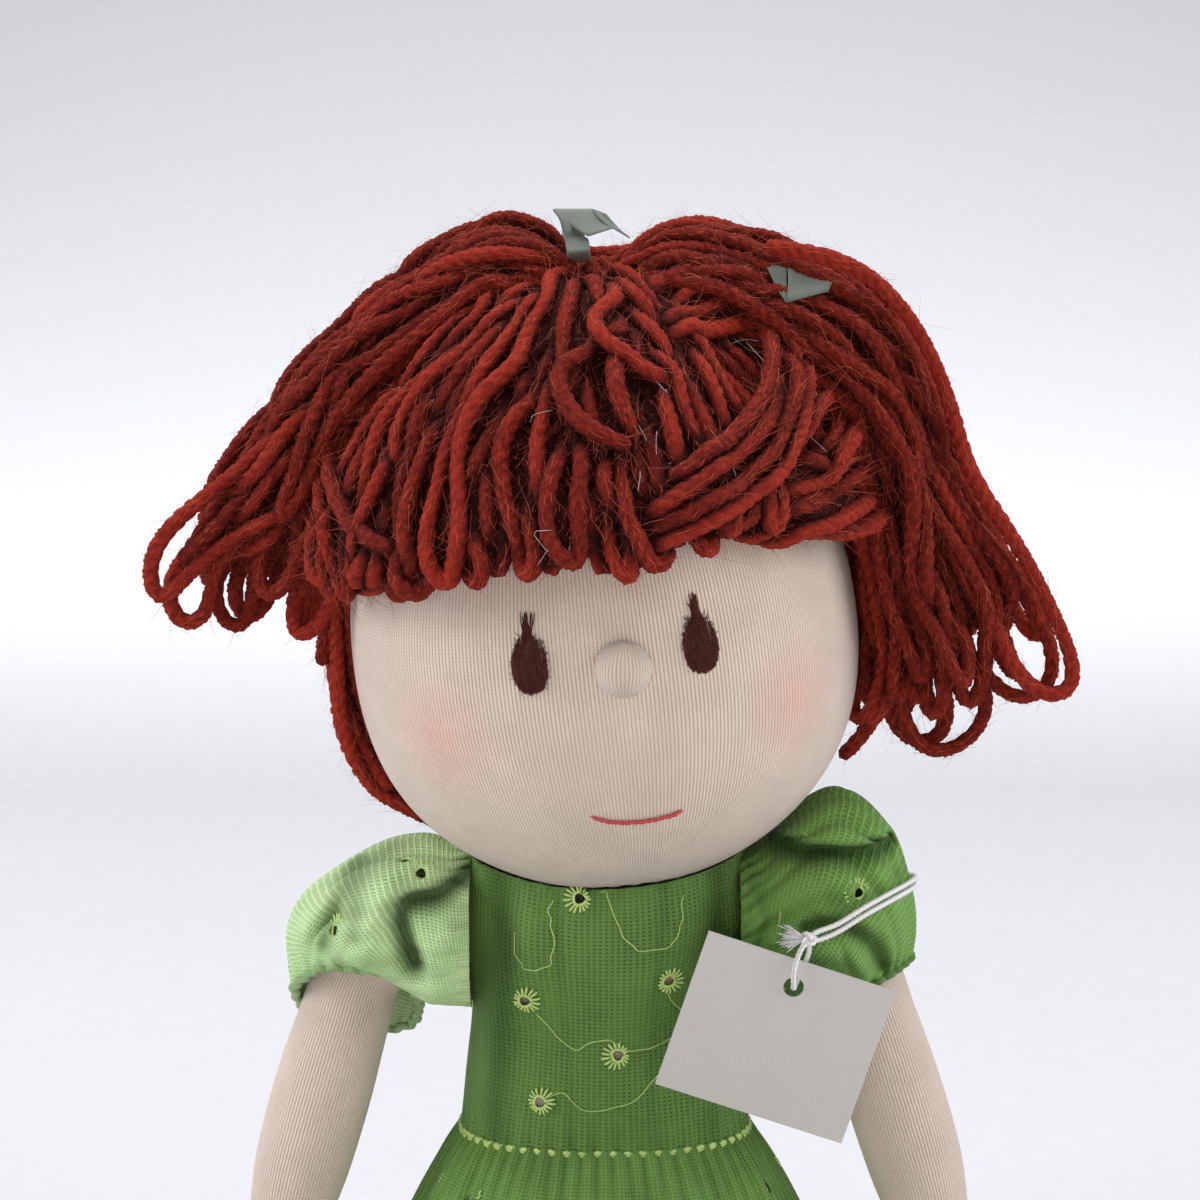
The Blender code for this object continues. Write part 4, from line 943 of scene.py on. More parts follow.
# Strands that sweep in from the sides, first and last of each set: bearing, elevation and lift in millimetres
RIGHT_HAND_SWEEP = (
    ((30, 72, 16), (60, 66, 17), (84, 57, 17), (77, 47, 17), (52, 40.5, 16), (30, 34.5, 12), (12, 33, 5)),
    ((60, 64, 9), (86, 48, 9), (90, 33, 9), (80, 24, 9.5), (60, 19.5, 9), (44, 21.5, 6.5), (29, 27, 2.5)))
LEFT_HAND_SWEEP = (
    ((-34, 72, 14), (-60, 64, 15), (-80, 52, 15.5), (-73, 40, 15.5), (-57, 29.5, 13), (-42, 24, 9), (-28, 27, 4)),
    ((-50, 66, 10), (-80, 52, 10), (-93, 38, 10), (-88, 27, 9.5), (-74, 20.5, 8), (-60, 20.0, 6), (-47, 23.5, 3)))
SWEEPS = ((RIGHT_HAND_SWEEP, 10), (LEFT_HAND_SWEEP, 6))
# Curls that lie on top of the fringe, told the same way
CURLS = (
    ((13, 66, 15), (13.5, 60, 18), (4.0, 57.0, 19), (-5.6, 53.8, 19.5), (-5.8, 48.1, 19.5), (-1.4, 43.1, 19),
     (3.2, 40.5, 18), (8.6, 40.0, 16.5)),
    ((20, 74, 16), (17, 67, 19), (9.5, 63, 20), (7.0, 57, 20), (12.5, 53.0, 19.5), (19.0, 50.5, 17), (24, 48, 13)),
    ((20, 66, 15), (32.5, 68.7, 18), (62, 70.5, 20), (85, 66.0, 20.5), (86, 61.4, 20.5), (68.8, 55.5, 20),
     (49.0, 46.3, 19.5), (36.5, 40.1, 18.5), (25.3, 36.0, 17), (16.2, 33.6, 14), (8, 32, 9)))
# Where the fringe's loops are tied on the crown, and how far they stray from it
TIE, TIE_STRAY = np.array((-0.0015, -0.0060, 0.2560)), np.array((0.0060, 0.0030, 0.0030))
FRINGE_COLUMNS, FRINGE_LIFTS, FRINGE_LOOPS = 27, (3.0, 6.6, 10.2), 21
# The lower ends of the fringe's loops: bearings, and the elevation at each
FRINGE_EDGE = ((-70, -40, -24, 4, 20, 40), (18.0, 18.5, 21.0, 21.0, 22.5, 23.0))


def fall_route(start, bearings, elevations, lifts):
    """A strand that leaves the tie on the crown and falls over the head."""
    return catmull(np.vstack((start, on_head(np.array(bearings), np.array(elevations), np.array(lifts)))), 5)


def make_fringe():
    """The fringe: strands and loops that fall from the tie over the forehead."""
    rng = np.random.default_rng(11)
    routes = []
    for layer, lift in enumerate(FRINGE_LIFTS):
        for k in range(FRINGE_COLUMNS - layer):
            across = (k + 0.5 + rng.uniform(-0.2, 0.2)) / (FRINGE_COLUMNS - layer)
            foot = -74 + 150 * across
            edge = 23.0 + 5.0 * math.sin(math.pi * across) + rng.uniform(-1.0, 3.0)
            start = 30 + (foot - 30) * 0.80
            bow = rng.uniform(-3.5, 3.5)
            bearings = (start, start * 0.5 + foot * 0.5 + bow, foot + bow * 0.4, foot, foot - rng.uniform(-3, 3))
            elevations = (70 + rng.uniform(-2, 2), 57, 43, edge + 6, edge)
            lifts = np.array((lift * 1.2, lift * 1.1, lift + 0.5, lift, lift - 2.0)) * MM
            routes.append(wander(patch_route(bearings, elevations, lifts), rng, 0.0012))
    for k in range(FRINGE_LOOPS):
        across = (k + 0.5 + rng.uniform(-0.25, 0.25)) / FRINGE_LOOPS * 0.75
        foot = -70 + 143 * across
        half = rng.uniform(1.9, 3.4)
        edge = np.interp(foot, *FRINGE_EDGE) + rng.uniform(-2, 2)
        lift = rng.uniform(11.5, 14.5)
        legs = []
        for side in (-1, 1):
            start = 40 + (foot + side * half - 40) * 0.72
            bow = rng.uniform(-4, 4)
            end = foot + side * half
            root = TIE + rng.uniform(-1, 1, 3) * TIE_STRAY
            root[0] += 0.00016 * foot
            legs.append(wander(fall_route(root, (start, start * 0.45 + end * 0.55 + bow, end + bow * 0.5, end, end),
                                          (73 + rng.uniform(-3, 2), 58, 44, edge + 9, edge + 3),
                                          np.array((lift + 3.5, lift + 2.2, lift + 1.0, lift, lift - 1.2)) * MM),
                               rng, 0.0014))
        turn = on_head(foot, edge - 0.5, (lift - 2.2) * MM)
        routes.append(np.vstack((legs[0], turn[None], legs[1][::-1])))
    for (high, low), number in SWEEPS:
        for k in range(number):
            share = k / (number - 1)
            path = np.array(high, float) * (1 - share) + np.array(low, float) * share
            path[:, 2] += rng.uniform(-2.0, 2.0)
            path[:-1, 1] += rng.uniform(-1.5, 1.5)
            routes.append(wander(table_route(path), rng, 0.0015))
    routes += [table_route(np.array(curl, float)) for curl in CURLS]
    for step in range(1, 4):
        path = np.array(CURLS[-1], float) - np.array((2.0, 3.6, 0.9)) * step
        routes.append(wander(table_route(path), rng, 0.0012))
    radius = sizes().yarn * 1.04
    routes = [evenly(r, 0.0025) for r in routes]
    routes = settle(routes, radius * 1.72, 12, radius * 0.9)
    yarn_pieces("hair_fringe", routes, radius, 12, 44, 0.0008)


LINT_FIBRES, LINT_RADIUS = 16, 0.00005


def make_lint():
    """A few long pale fibres caught on the hair."""
    rng = np.random.default_rng(91)
    sheets = []
    for _ in range(LINT_FIBRES):
        bearing, elevation = rng.uniform(-70, 75), rng.uniform(26, 60)
        lift = rng.uniform(0.0155, 0.0180)
        t = np.linspace(0, 1, 6)
        steps = np.cumsum(rng.normal(0, 1.6, (6, 2)), axis=0)
        way = rng.normal(0, 9, 2)
        route = on_head(bearing + steps[:, 0] + way[0] * t, np.clip(elevation + steps[:, 1] + way[1] * t, 18, 80),
                        lift + 0.0025 * np.sin(5 * t + rng.uniform(0, 6)))
        sheets.append(cord_sheet(smooth_route(route, 0.0014), LINT_RADIUS, 4))
    sewn("hair_lint", sheets, "cotton", "head")


# The strand beside the doll's right cheek, across and up, and how far each of its like is shifted, in millimetres
CHEEK_STRAND = ((-52, 222), (-61, 206), (-63.6, 190), (-63.4, 170), (-61.8, 155), (-56.0, 141.5), (-45.0, 132.5),
                (-37.0, 130.0))
CHEEK_SHIFTS = ((0.0, 6.0, 0.0), (3.2, 11.0, 1.5), (1.2, 16.0, -2.0), (-1.5, 12.0, 3.0))
# Strands over the parting: how far back, and how high, in millimetres
BRIDGES = ((-3, 262.0), (1, 265.0), (5, 266.5), (9, 266.5), (13, 264.5), (17, 262.0))
BACK_COLUMNS, BACK_LIFTS = 41, (2.4, 5.9)


def make_back_hair():
    """The back hair: two layers of strands from the parting to the nape, and the ones beside the cheeks."""
    rng = np.random.default_rng(21)
    routes = []
    for layer, lift in enumerate(BACK_LIFTS):
        for k in range(BACK_COLUMNS - layer):
            across = (k + 0.5 + rng.uniform(-0.2, 0.2)) / (BACK_COLUMNS - layer)
            foot = 104 + 152 * across
            edge = -26 - 19 * math.sin(math.pi * across) + rng.uniform(-3, 3) - 3 * layer
            start = 180 + (foot - 180) * 0.75
            bow = rng.uniform(-1.6, 1.6)
            bearings = (start, foot * 0.6 + start * 0.4 + bow, foot + bow, foot - bow, foot + bow * 0.5, foot)
            elevations = (74, 50, 25, 0, (edge - 8) / 2 - 6, edge)
            lifts = np.array((lift, lift + 0.5, lift + 0.3, lift, lift, lift - 0.5)) * MM
            routes.append(patch_route(bearings, elevations, lifts))
    for shift in CHEEK_SHIFTS:
        side = np.array(CHEEK_STRAND, float)
        side = np.stack((side[:, 0], 0 * side[:, 0], side[:, 1]), axis=1) + shift
        side[:, 1] += np.linspace(0, 9, len(side))
        routes.append(wander(catmull(side * MM, 5), rng, 0.0004))
    for y, top in BRIDGES:
        bridge = np.array(((-30, y + 3, top - 3.5), (-14, y + 1, top + 1.5), (0, y, top), (14, y + 1, top + 1.5),
                           (30, y + 3, top - 2.5))) * MM
        routes.append(wander(catmull(bridge, 6), rng, 0.0006))
    for bearing, low in ((101, -22), (106, -30)):
        routes.append(patch_route((bearing * 1.1, bearing, bearing, bearing * 0.99, bearing * 0.97),
                                  (58, 30, 0, low / 2, low), np.array((4.0, 3.2, 2.6, 2.4, 2.4)) * MM))
    radius = sizes().yarn
    routes = [evenly(r, 0.0036) for r in routes]
    routes = settle(routes, radius * 1.7, 8, radius * 0.9)
    yarn_pieces("hair_back", routes, radius, 22, 60)


# Dress

def cloth_piece(name, places, uvs, kind, holes=(), folds=0.0):
    """A cloth sheet with its eyelet holes cut out and its thickness on; folds is how much painted shade each spot
    gets.
    """
    mesh = woven(name, [(places, uvs)], {"fold": [folds]}, closed=False)
    if len(holes):
        bm = bmesh.new()
        bm.from_mesh(mesh)
        centres = np.array([f.calc_center_median() for f in bm.faces])
        gone = np.zeros(len(centres), bool)
        for hole, size in holes:
            gone |= np.linalg.norm(centres - hole, axis=1) < size
        bm.faces.ensure_lookup_table()
        bmesh.ops.delete(bm, geom=[bm.faces[int(i)] for i in np.nonzero(gone)[0]], context="FACES")
        rim = [vert for vert in bm.verts if vert.is_boundary]
        spots = np.array([vert.co for vert in rim])
        for hole, size in holes:
            away = spots - hole
            far = np.linalg.norm(away, axis=1)
            for k in np.nonzero(far < size * 2.2)[0]:
                rim[k].co = Vector(hole + away[k] / max(far[k], NO_SHARE) * size)
        bm.to_mesh(mesh)
        bm.free()
    return thickened(piece(name, mesh, kind), sizes().cloth)


def surface_at(places, target):
    """The sheet's nearest point to a target, and its unit vectors across, along and out."""
    away = np.linalg.norm(places - np.asarray(target), axis=-1)
    r, c = np.unravel_index(int(np.argmin(away)), away.shape)
    r, c = min(max(r, 2), places.shape[0] - 3), min(max(c, 2), places.shape[1] - 3)
    across = places[r, c + 2] - places[r, c - 2]
    across /= np.linalg.norm(across)
    out = np.cross(across, places[r + 2, c] - places[r - 2, c])
    out /= np.linalg.norm(out)
    return places[r, c], across, np.cross(out, across), out


EYELET_HOLE, EYELET_RING, PETALS = 0.00150, 0.0036, 17


def eyelet_sheets(centre, across, along, out, rng):
    """The bound edge of an eyelet hole, and the long stitches that spread from it like petals."""

    def spot(angle, reach, high):
        return (centre + across * (reach * np.cos(angle))[:, None] + along * (reach * np.sin(angle))[:, None]
                + out * high[:, None])

    ring = np.linspace(0, TURN, 40)
    wobble = 1 + 0.06 * np.sin(3 * ring + rng.uniform(0, 6))
    sheets = [cord_sheet(spot(ring, EYELET_HOLE * wobble, 0.00045 + 0 * ring), 0.00036, 6)]
    longer = rng.uniform(0, TURN)
    for k in range(PETALS):
        angle = TURN * (k + rng.uniform(-0.15, 0.15)) / PETALS
        reach = EYELET_RING * (0.95 + 0.22 * math.cos(angle - longer) + rng.uniform(-0.05, 0.05))
        t = np.linspace(0, 1, 6)
        line = spot(angle + 0 * t, EYELET_HOLE + (reach - EYELET_HOLE) * t, 0.0003 + 0.00045 * np.sin(math.pi * t))
        sheets.append(cord_sheet(line, 0.00030, 5))
    return sheets


def embroidery(name, places, targets, vines, outward, seed):
    """Eyelets and vine threads sewn on a sheet; outward says which way its outside is."""
    rng = np.random.default_rng(seed)
    sheets, holes = [], []
    for target in targets:
        centre, across, along, out = surface_at(places, target)
        sheets += eyelet_sheets(centre, across, along, out * outward, rng)
        holes.append((centre, EYELET_HOLE))
    for vine in vines:
        route = []
        for point in catmull(vine, 8):
            centre, _, _, out = surface_at(places, point)
            route.append(centre + out * outward * 0.0004)
        smooth = smooth_route(np.array(route)[::3], 0.0007)
        sheets.append(cord_sheet(smooth, 0.00020, 6, lobes=2, groove=0.3, pitch=0.0020))
    return sewn(name, sheets, "vine", None), holes


# Upright folds of the bodice's front: place across, width and depth, in millimetres; below 0 it stands out. The ones
# that sink in are also painted darker, painted shade in the fold; the deep one at -24.5 carries painted shadow of
# the head as well.
BODICE_FOLDS = ((-24.5, 3.6, 2.3), (-19.0, 2.6, -0.9), (-9.5, 1.6, 0.8), (12.0, 1.8, 0.9), (26.0, 2.6, 1.6))
BODICE_LOW, BODICE_TOP = 0.0575, 0.1265
# The neckline's height at its middle, and how it rises to the sides
NECKLINE, NECKLINE_RISE = 0.1256, 5.5
CHEST_HALF_WIDTH, CHEST_HALF_DEPTH = 0.0322, 0.0205


def bodice_places():
    """The bodice's sheet: snug over the chest, gathered at the waist, its neckline standing round the chin."""
    u, v = grid(230, 76)
    height = BODICE_LOW + (BODICE_TOP - BODICE_LOW) * v
    back, wide, deep = torso_row(np.minimum(height, 0.0960))
    rise = ease(0.088, 0.1110, height) - 0.6 * ease(0.112, BODICE_TOP, height)
    wide = wide * (1 - rise) + CHEST_HALF_WIDTH * rise
    deep = deep * (1 - rise) + CHEST_HALF_DEPTH * rise
    angle = u * TURN
    c, s = unit_oval(angle, TORSO_POWER)
    wave = 0.8 * np.sin(2 * angle + 0.4) + 0.6 * np.sin(3 * angle + 2.0)
    gather = 0.00050 * np.cos(44 * angle + wave) * (ease(0.90, 1.0, v) * 1.2 + ease(0.22, 0.0, v))
    fold = 0.0011 * np.cos(9 * angle + 2.0 * np.sin(5 * v) + wave) * np.sin(math.pi * v)
    slack = 0.0007 * np.cos(4 * angle - 7 * v + wave)
    stand = 0.0014 + fold * 0.7 + gather + slack * np.sin(math.pi * v)
    neckline = NECKLINE + NECKLINE_RISE * (c * CHEST_HALF_WIDTH) ** 2
    places = together(c * (wide + stand), back + s * (deep + stand), BODICE_LOW + (neckline - BODICE_LOW) * v)
    folds = 0
    for middle, wide_mm, deep_mm in BODICE_FOLDS:
        drift = middle * MM + 0.0012 * np.sin(70 * height + middle)
        dip = np.exp(-((places[..., 0] - drift) / (wide_mm * MM)) ** 2) * ease(0.0, -0.012, places[..., 1])
        places[..., 1] += deep_mm * MM * dip * ease(0.092, 0.110, height)
        # Painted shade: each sunken fold is marked for darker colour
        folds = folds + max(0.0, deep_mm / 3.0) * dip
    places = clear_of_head(places.reshape(-1, 3), 0.0008).reshape(places.shape)
    return places, together(u, v), folds


def scattered(places, rows, columns, seed):
    """Staggered spots over a sheet, as a repeat of sprigs has them; every other draw is passed over."""
    strays = np.random.default_rng(seed).uniform(-0.12, 0.12, (rows * columns, 2))[:, 0]
    spots = []
    for k, stray in enumerate(strays):
        i, j = divmod(k, columns)
        v, u = (i + 0.5) / rows, (j + 0.5 * (i % 2) + stray) / columns % 1.0
        spots.append(places[int(v * (places.shape[0] - 1)), int(u * (places.shape[1] - 1))])
    return spots


# Where the bodice's eyelets lie, nearly: the front's, then the back's
BODICE_EYELETS = (
    (-0.0065, -0.0225, 0.1212), (0.0161, -0.0225, 0.1002), (-0.0200, -0.0215, 0.0950), (0.0030, -0.0240, 0.0830),
    (0.0250, -0.0220, 0.0760), (-0.0170, -0.0240, 0.0720),
    (-0.016, 0.030, 0.105), (0.012, 0.030, 0.095), (-0.006, 0.032, 0.080), (0.020, 0.031, 0.070))
# Vines on the bodice's front: across and up, in millimetres
BODICE_VINES = (
    ((-2.1, 124.0), (0.5, 122.0), (3.0, 116.3), (5.6, 110.4), (9.3, 108.5), (14.5, 109.9), (17.7, 113.0),
     (19.4, 118.2), (18.9, 122.5)),
    ((-28.0, 113.7), (-26.1, 107.8), (-21.2, 104.7), (-16.1, 103.3), (-12.1, 106.6), (-11.7, 113.0), (-12.8, 119.0),
     (-10.5, 122.0)),
    ((16.1, 97.0), (20.0, 91.0), (14.0, 85.5), (6.0, 84.5), (0.0, 87.0), (-8.0, 85.0), (-14.0, 89.0), (-17.5, 93.5)),
    ((25.0, 79.0), (21.0, 84.0), (14.0, 79.0), (6.0, 72.0), (-4.0, 70.0), (-11.0, 74.0), (-15.0, 72.5)))


def make_bodice():
    """The dress's bodice with its eyelets and vines."""
    places, uvs, folds = bodice_places()
    vines = [[(x * MM, -0.022, z * MM) for x, z in vine] for vine in BODICE_VINES]
    ring, holes = embroidery("bodice_embroidery", places, BODICE_EYELETS, vines, 1.0, 71)
    cloth = cloth_piece("bodice_voile", places, uvs, "voile", holes, folds)
    for obj in (cloth, ring):
        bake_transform(obj)
    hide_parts("bodice")


SKIRT_HALF_WIDTH, SKIRT_FRONT_REACH, SKIRT_BACK_REACH = 0.060, 0.088, 0.056
SKIRT_HEM_HEIGHT, LAP_HEIGHT = 0.0016, 0.0372
WAIST_CORD_HEIGHT, WAIST_CORD_LIFT = 0.0592, 0.0016


def skirt_places():
    """The skirt's sheet: gathered at the waist, over the lap, down to the ground."""
    u, v = grid(420, 84)
    angle = u * TURN
    c, s = unit_oval(angle, TORSO_POWER)
    back, wide, deep = torso_row(WAIST_HEIGHT)
    reach = np.where(s < 0, SKIRT_FRONT_REACH, SKIRT_BACK_REACH)
    drift = 0.35 * np.sin(2 * angle + 0.7) + 0.25 * np.sin(5 * angle)
    fold = (0.0026 * v * np.cos(12 * angle) + 0.0016 * v * np.cos(25 * angle + 3 * drift + 1.5 * v)
            + 0.0007 * (1 - v) * np.cos(60 * angle))
    x = c * (wide + 0.0008 + (SKIRT_HALF_WIDTH - wide) * v + fold)
    y = back * (1 - v) + s * (deep + 0.0008 + (reach - deep) * v + fold)
    z = WAIST_HEIGHT + (SKIRT_HEM_HEIGHT - WAIST_HEIGHT) * v ** 1.25
    on_lap = (1 - ease(0.044, 0.054, np.abs(x))) * ease(-0.010, 0.010, -y)
    floor = SKIRT_HEM_HEIGHT + (LAP_HEIGHT - SKIRT_HEM_HEIGHT) * on_lap
    top = WAIST_HEIGHT - (WAIST_HEIGHT - LAP_HEIGHT) * ease(0.0, 0.4, v)
    z = np.maximum(z, np.minimum(floor, top)) + np.maximum(fold, -0.0012) * on_lap * 0.45
    z = z + 0.0008 * on_lap * ease(0.0, 0.4, v)
    return together(x, y, z), together(u, v)


def make_skirt():
    """The skirt with its waistband, hem roll and eyelets."""
    places, uvs = skirt_places()
    ring, holes = embroidery("skirt_embroidery", places, scattered(places[12:-8], 3, 13, 5), [], 1.0, 72)
    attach(ring, "torso")
    cloth = cloth_piece("skirt_voile", places, uvs, "skirt", holes)
    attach(cloth, "torso")
    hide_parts("skirt")
    hem = sewn("skirt_hem", [cord_sheet(places[-2], 0.0009, 8)], "skirt", "torso")
    back, wide, deep = torso_row(WAIST_HEIGHT)
    c, s = unit_oval(np.linspace(0, TURN, 121), TORSO_POWER)
    band = np.stack((c * (wide + WAIST_CORD_LIFT), back + s * (deep + WAIST_CORD_LIFT),
                     np.full_like(c, WAIST_CORD_HEIGHT)), axis=1)
    waist = sewn("waist_cord", [cord_sheet(band, 0.0013, 10, lobes=2, groove=0.2, pitch=0.006)], "vine", "torso")


# Sleeve rings: under side (out, up), top side (out, up), depth and how far the back hangs lower, as shares
LEFT_SLEEVE = (
    (0.0, -0.80, 0.0, 0.50, 0.80, 0.0), (0.02, -0.81, 0.14, 0.68, 0.90, 0.0),
    (0.06, -0.815, 0.36, 1.02, 0.96, 0.0), (0.12, -0.82, 0.61, 1.18, 1.0, 0.0),
    (0.19, -0.83, 0.85, 0.82, 1.0, 0.02), (0.26, -0.865, 0.96, 0.32, 0.90, 0.04),
    (0.325, -0.88, 1.0, -0.10, 0.72, 0.05), (0.385, -0.885, 0.975, -0.436, 0.565, 0.05))
RIGHT_SLEEVE = (
    (0.0, -0.88, 0.0, 0.62, 0.80, 0.0), (0.03, -0.88, 0.11, 0.66, 0.90, 0.0),
    (0.08, -0.88, 0.26, 0.72, 0.96, 0.0), (0.14, -0.88, 0.47, 0.66, 1.0, 0.04),
    (0.19, -0.88, 0.71, 0.44, 1.0, 0.10), (0.225, -0.89, 0.91, 0.16, 0.94, 0.19),
    (0.25, -0.90, 1.0, -0.18, 0.88, 0.30), (0.27, -0.91, 0.99, -0.56, 0.80, 0.44),
    (0.29, -0.93, 0.955, -0.84, 0.74, 0.52))
# Creases seen from the front: how deep, how wide, and across and up, all in millimetres; those that sink in are also
# painted darker, painted shade in the crease
RIGHT_CREASES = (
    (6.5, 2.6, ((-31.0, 125.0), (-38.9, 121.0), (-45.2, 119.6), (-47.1, 116.5), (-45.9, 111.3), (-44.0, 106.0))),
    (3.4, 2.4, ((-57.8, 126.5), (-61.8, 118.9), (-64.8, 110.0))),
    (2.8, 2.4, ((-36.0, 134.0), (-47.8, 130.5), (-56.5, 123.0), (-57.0, 113.0))),
    (-3.6, 3.6, ((-36.0, 114.0), (-39.5, 108.0), (-39.0, 98.0))),
    (-3.0, 3.4, ((-50.0, 123.0), (-55.0, 116.0), (-56.0, 108.0))))
LEFT_CREASES = (
    (8.0, 2.2, ((31.0, 132.4), (40.3, 131.6), (46.2, 130.9), (51.3, 131.2), (56.4, 130.7), (66.0, 131.2))),
    (-4.0, 3.4, ((36.0, 138.0), (46.0, 136.5), (56.0, 136.0), (64.0, 134.5))),
    (4.4, 2.0, ((46.0, 114.5), (50.6, 115.4), (56.4, 114.4), (61.6, 110.3), (64.7, 103.4))),
    (-2.0, 2.6, ((50.0, 109.5), (56.0, 108.5), (60.0, 103.0))),
    (1.6, 2.0, ((33.0, 126.0), (37.0, 118.0), (35.0, 106.0))),
    (1.4, 2.4, ((70.0, 126.0), (62.0, 121.0), (52.0, 122.0))))
ARMHOLE_REACH = 0.03149
SLEEVE_HALF_HEIGHT, SLEEVE_HALF_DEPTH = 0.0250, 0.0240
# Each sleeve: side, reach, rings, creases, eyelets, vines and seed
SLEEVES = {
    "left": (1, 0.0416, LEFT_SLEEVE, LEFT_CREASES,
             [(0.0590, -0.023, 0.1230), (0.040, -0.022, 0.100), (0.050, 0.024, 0.118), (0.064, 0.016, 0.128)],
             [((0.036, -0.022, 0.112), (0.042, -0.024, 0.122), (0.050, -0.024, 0.1265), (0.0570, -0.024, 0.1255)),
              ((0.061, -0.022, 0.123), (0.066, -0.020, 0.118), (0.064, -0.019, 0.110)),
              ((0.036, -0.022, 0.138), (0.046, -0.022, 0.136), (0.054, -0.018, 0.139))], 61),
    "right": (-1, 0.0438, RIGHT_SLEEVE, RIGHT_CREASES,
              [(-0.0415, -0.020, 0.1286), (-0.0470, -0.012, 0.1345), (-0.0420, -0.020, 0.1075),
               (-0.0620, -0.018, 0.1130), (-0.050, 0.020, 0.122), (-0.062, 0.018, 0.108)],
              [((-0.034, -0.020, 0.129), (-0.037, -0.020, 0.1300), (-0.040, -0.020, 0.1295)),
               ((-0.0435, -0.018, 0.127), (-0.049, -0.020, 0.122), (-0.052, -0.022, 0.114), (-0.058, -0.020, 0.109),
                (-0.064, -0.016, 0.109)),
               ((-0.034, -0.023, 0.118), (-0.037, -0.023, 0.112), (-0.0405, -0.022, 0.109))], 62),
}


def sleeve_places(side, width, shares, creases, seed):
    """A puff sleeve's sheet: pleated at the armhole, full over the shoulder, open round the arm."""
    rng = np.random.default_rng(seed)
    table = catmull(shares, 12)
    low_out, low_up, top_out, top_up, deep, hang = (table[:, k][:, None] for k in range(6))
    u, v = grid(260, len(table) - 1)
    angle = u * TURN
    start = np.array((side * ARMHOLE_REACH, 0.0, SHOULDER_HEIGHT))
    low, top = (np.concatenate((side * out * width, 0 * out, up * SLEEVE_HALF_HEIGHT), axis=1) + start
                for out, up in ((low_out, low_up), (top_out, top_up)))
    up = (top - low) / 2
    across = np.concatenate((0 * deep, deep * SLEEVE_HALF_DEPTH, -hang * SLEEVE_HALF_HEIGHT), axis=1)
    c, s = unit_oval(angle, 2.2)
    drift = 0.5 * np.sin(2 * angle + rng.uniform(0, 6)) + 0.4 * np.sin(3 * angle + rng.uniform(0, 6))
    puff = np.sin(math.pi * np.clip(v * 1.02, 0, 1)) ** 0.7
    pleat = (0.5 + 0.5 * np.cos(9 * angle + 4 * drift + 2.5 * v)) ** 3
    swell = 1 + 0.025 * np.cos(7 * angle) * top_out
    swell = swell - 0.075 * puff * pleat
    swell = swell - 0.045 * puff * (0.5 + 0.5 * np.cos(14 * angle - 5 * drift - 5 * v)) ** 3
    swell = swell + 0.035 * np.cos(30 * angle) * ease(0.25, 0.0, v)
    swell = swell + 0.035 * np.cos(24 * angle + 2 * drift) * ease(0.80, 1.0, v)
    places = ((low + top)[:, None] / 2 + across[:, None] * (c * swell)[..., None]
              + up[:, None] * (s * swell)[..., None])
    front = ease(0.002, -0.006, places[..., 1])
    # Painted shade: the pleats are marked for darker colour, and below, each sunken crease too
    folds = 0.16 * puff * pleat
    for deep_mm, wide_mm, line in creases:
        path = smooth_route(np.array(line, float), 1.0) * MM
        away = np.sqrt(((places[..., ::2][:, :, None] - path) ** 2).sum(-1)).min(-1)
        crease = front * np.exp(-(away / (wide_mm * MM)) ** 2)
        places[..., 1] += deep_mm * MM * crease
        # Painted shade in the sunken crease
        folds = folds + max(0.0, deep_mm / 6.0) * crease
    return places, together(u, v), folds


def make_sleeve(word):
    """A puff sleeve with its hem roll, eyelets and vines."""
    side, width, shares, creases, targets, vines, seed = SLEEVES[word]
    node = "sleeve_" + word
    places, uvs, folds = sleeve_places(side, width, shares, creases, seed)
    ring, holes = embroidery(node + "_embroidery", places, targets, vines, -side, seed)
    cloth = cloth_piece(node + "_voile", places, uvs, node, holes, folds)
    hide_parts(node)
    hem = sewn(node + "_hem", [cord_sheet(places[-1], 0.0010, 8)], node, None)
    for obj in (cloth, ring, hem):
        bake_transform(obj)


# Limbs, trunk and shoes

def stuffed_tube(rows, side_axis, around, ripple):
    """A stuffed tube through rows of place and two half widths, drawn to a point at both ends."""
    table = catmull(rounded(rows), 8)
    route = table[:, :3]
    tangents = np.gradient(route, axis=0)
    tangents /= np.linalg.norm(tangents, axis=1)[:, None]
    side_axis = np.array(side_axis, float)
    across = unit(side_axis - tangents * (tangents @ side_axis)[:, None])
    up = np.cross(tangents, across)
    u = np.linspace(0, 1, around + 1)[None]
    angle = u * TURN
    v = (lengths(route) / lengths(route)[-1])[:, None]
    swell = 1 + ripple * np.cos(3 * angle + 5 * v) * np.sin(9 * v)
    places = (route[:, None] + across[:, None] * (np.maximum(table[:, 3:4], 0) * np.cos(angle) * swell)[..., None]
              + up[:, None] * (np.maximum(table[:, 4:5], 0) * np.sin(angle) * swell)[..., None])
    return poled(places), together(u, v)


def rounded(rows):
    """Rows with round ends put on, the first end full and the last one flatter."""
    rows = [np.array(r, float) for r in rows]

    def cap(first, second, reach):
        back = first[:3] - second[:3]
        back /= np.linalg.norm(back)
        return [np.array((*(first[:3] + back * first[3] * b * reach), first[3] * w, first[4] * w))
                for b, w in ((0.35, 0.93), (0.68, 0.72), (0.90, 0.42), (1.0, 0.0))]

    return cap(rows[0], rows[1], 1.0)[::-1] + rows + cap(rows[-1], rows[-2], 0.7)


